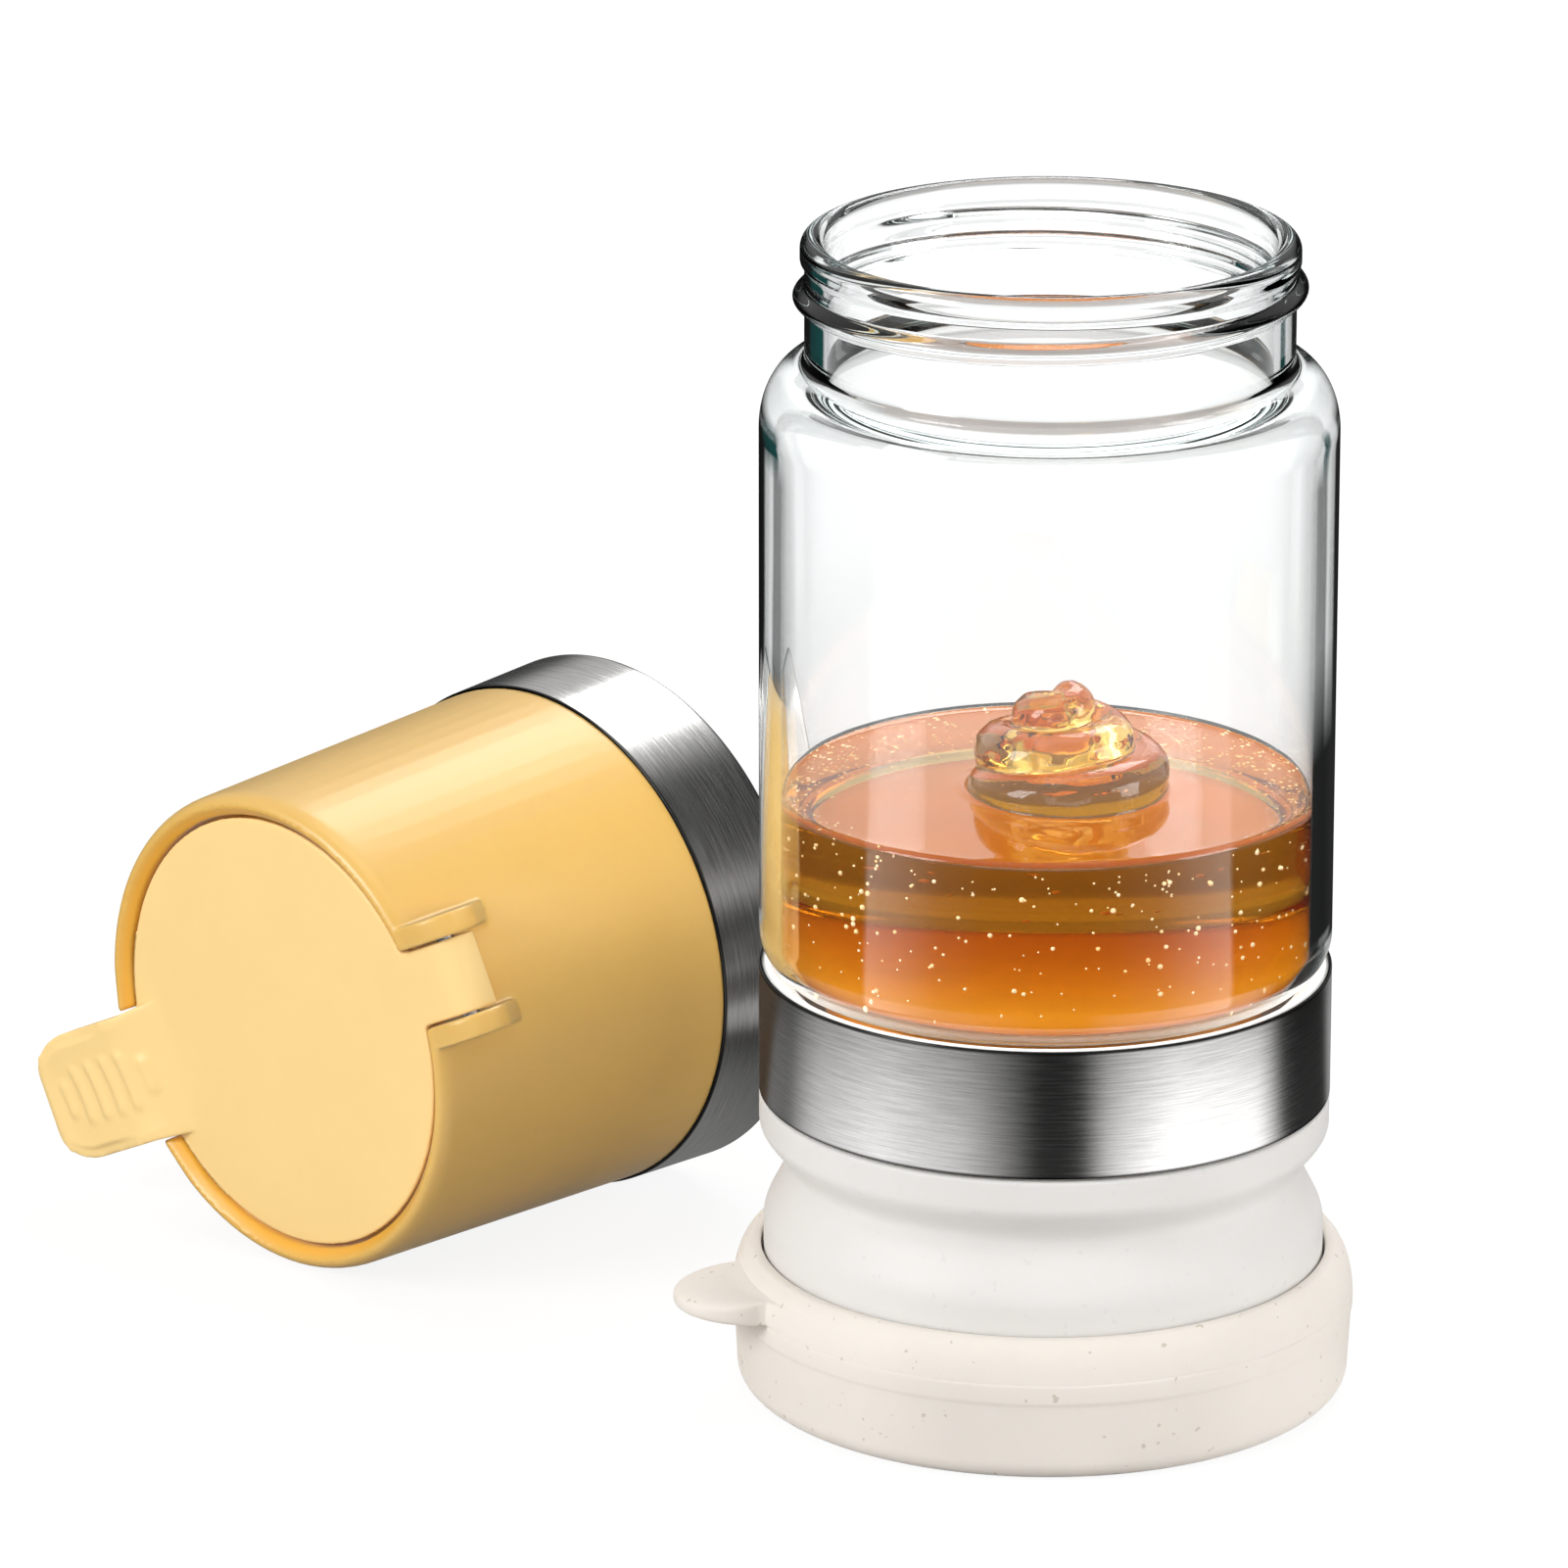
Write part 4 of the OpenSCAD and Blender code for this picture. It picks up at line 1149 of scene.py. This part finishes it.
def softbox(name, place, size, power, in_mirrors=True):
    """A soft lamp that looks at the object, in metres and watts."""
    light = bpy.data.lights.new(name, "AREA")
    light.shape = "RECTANGLE"
    light.size, light.size_y = size
    light.energy = power
    obj = add_object(name, light)
    obj.location = place
    target = Vector((-0.03, 0.02, 0.05))
    obj.rotation_euler = (target - Vector(place)).to_track_quat("-Z", "Y").to_euler()
    obj.visible_glossy = in_mirrors


def make_lights():
    softbox("key", (-0.90, -0.50, 0.55), (0.5, 0.5), 7.8)
    softbox("fill", (0.95, -0.35, 0.40), (0.5, 0.6), 6.5, in_mirrors=False)
    softbox("top", (0.0, 0.1, 1.15), (0.7, 0.5), 1.6)
    softbox("back", (0.22, 0.88, 0.92), (0.55, 0.4), 3.9)
    softbox("low_front", (-0.1, -1.0, 0.16), (1.0, 0.25), 1.8, in_mirrors=False)


def make_camera():
    """The photograph's camera, as fitted to the jar's ellipses and edges."""
    distance, pitch, focal_px, frame_px = 1150.0, math.radians(17.63), 10557.0, 1601.0
    target = Vector((-29.2, 0.0, 69.85))
    data = bpy.data.cameras.new("camera")
    data.sensor_width = 36.0
    data.lens = data.sensor_width * focal_px / frame_px
    data.clip_end = 20.0
    camera = add_object("camera", data)
    away = Vector((0, math.cos(pitch), -math.sin(pitch)))
    camera.location = (target - away * distance) * MM
    camera.rotation_euler = (math.pi / 2 - pitch, 0, 0)
    bpy.context.scene.camera = camera


make_camera()
bpy.context.scene.view_settings.view_transform = "Standard"
make_world()
make_lights()
make_floor()

STEEL_COLOR, STEEL_ROUGH = (0.84, 0.83, 0.815), 0.22
white_plastic = moulded_plastic("white_plastic", (0.88, 0.875, 0.86), 0.4)
# The lid is the shell's yellow plastic: this paler copy of it is painted light.
lid_plastic = moulded_plastic("lid_plastic", (0.96, 0.69, 0.29), 0.42)
seal_rubber = soft_silicone("clear_silicone", (0.80, 0.80, 0.77), 0.4, (0.72, 0.72, 0.69), 0.27)
pin_steel = brushed_steel("pin_steel", (0.66, 0.66, 0.66), 0.2)

make_glass()
make_honey()
make_settled_honey()
make_bubbles()
make_band(STEEL_COLOR, STEEL_ROUGH)
make_bulb()
make_cover()
make_cap(STEEL_COLOR, STEEL_ROUGH, lid_plastic, seal_rubber, white_plastic)
paint_node("hinge_pin", pin_steel)
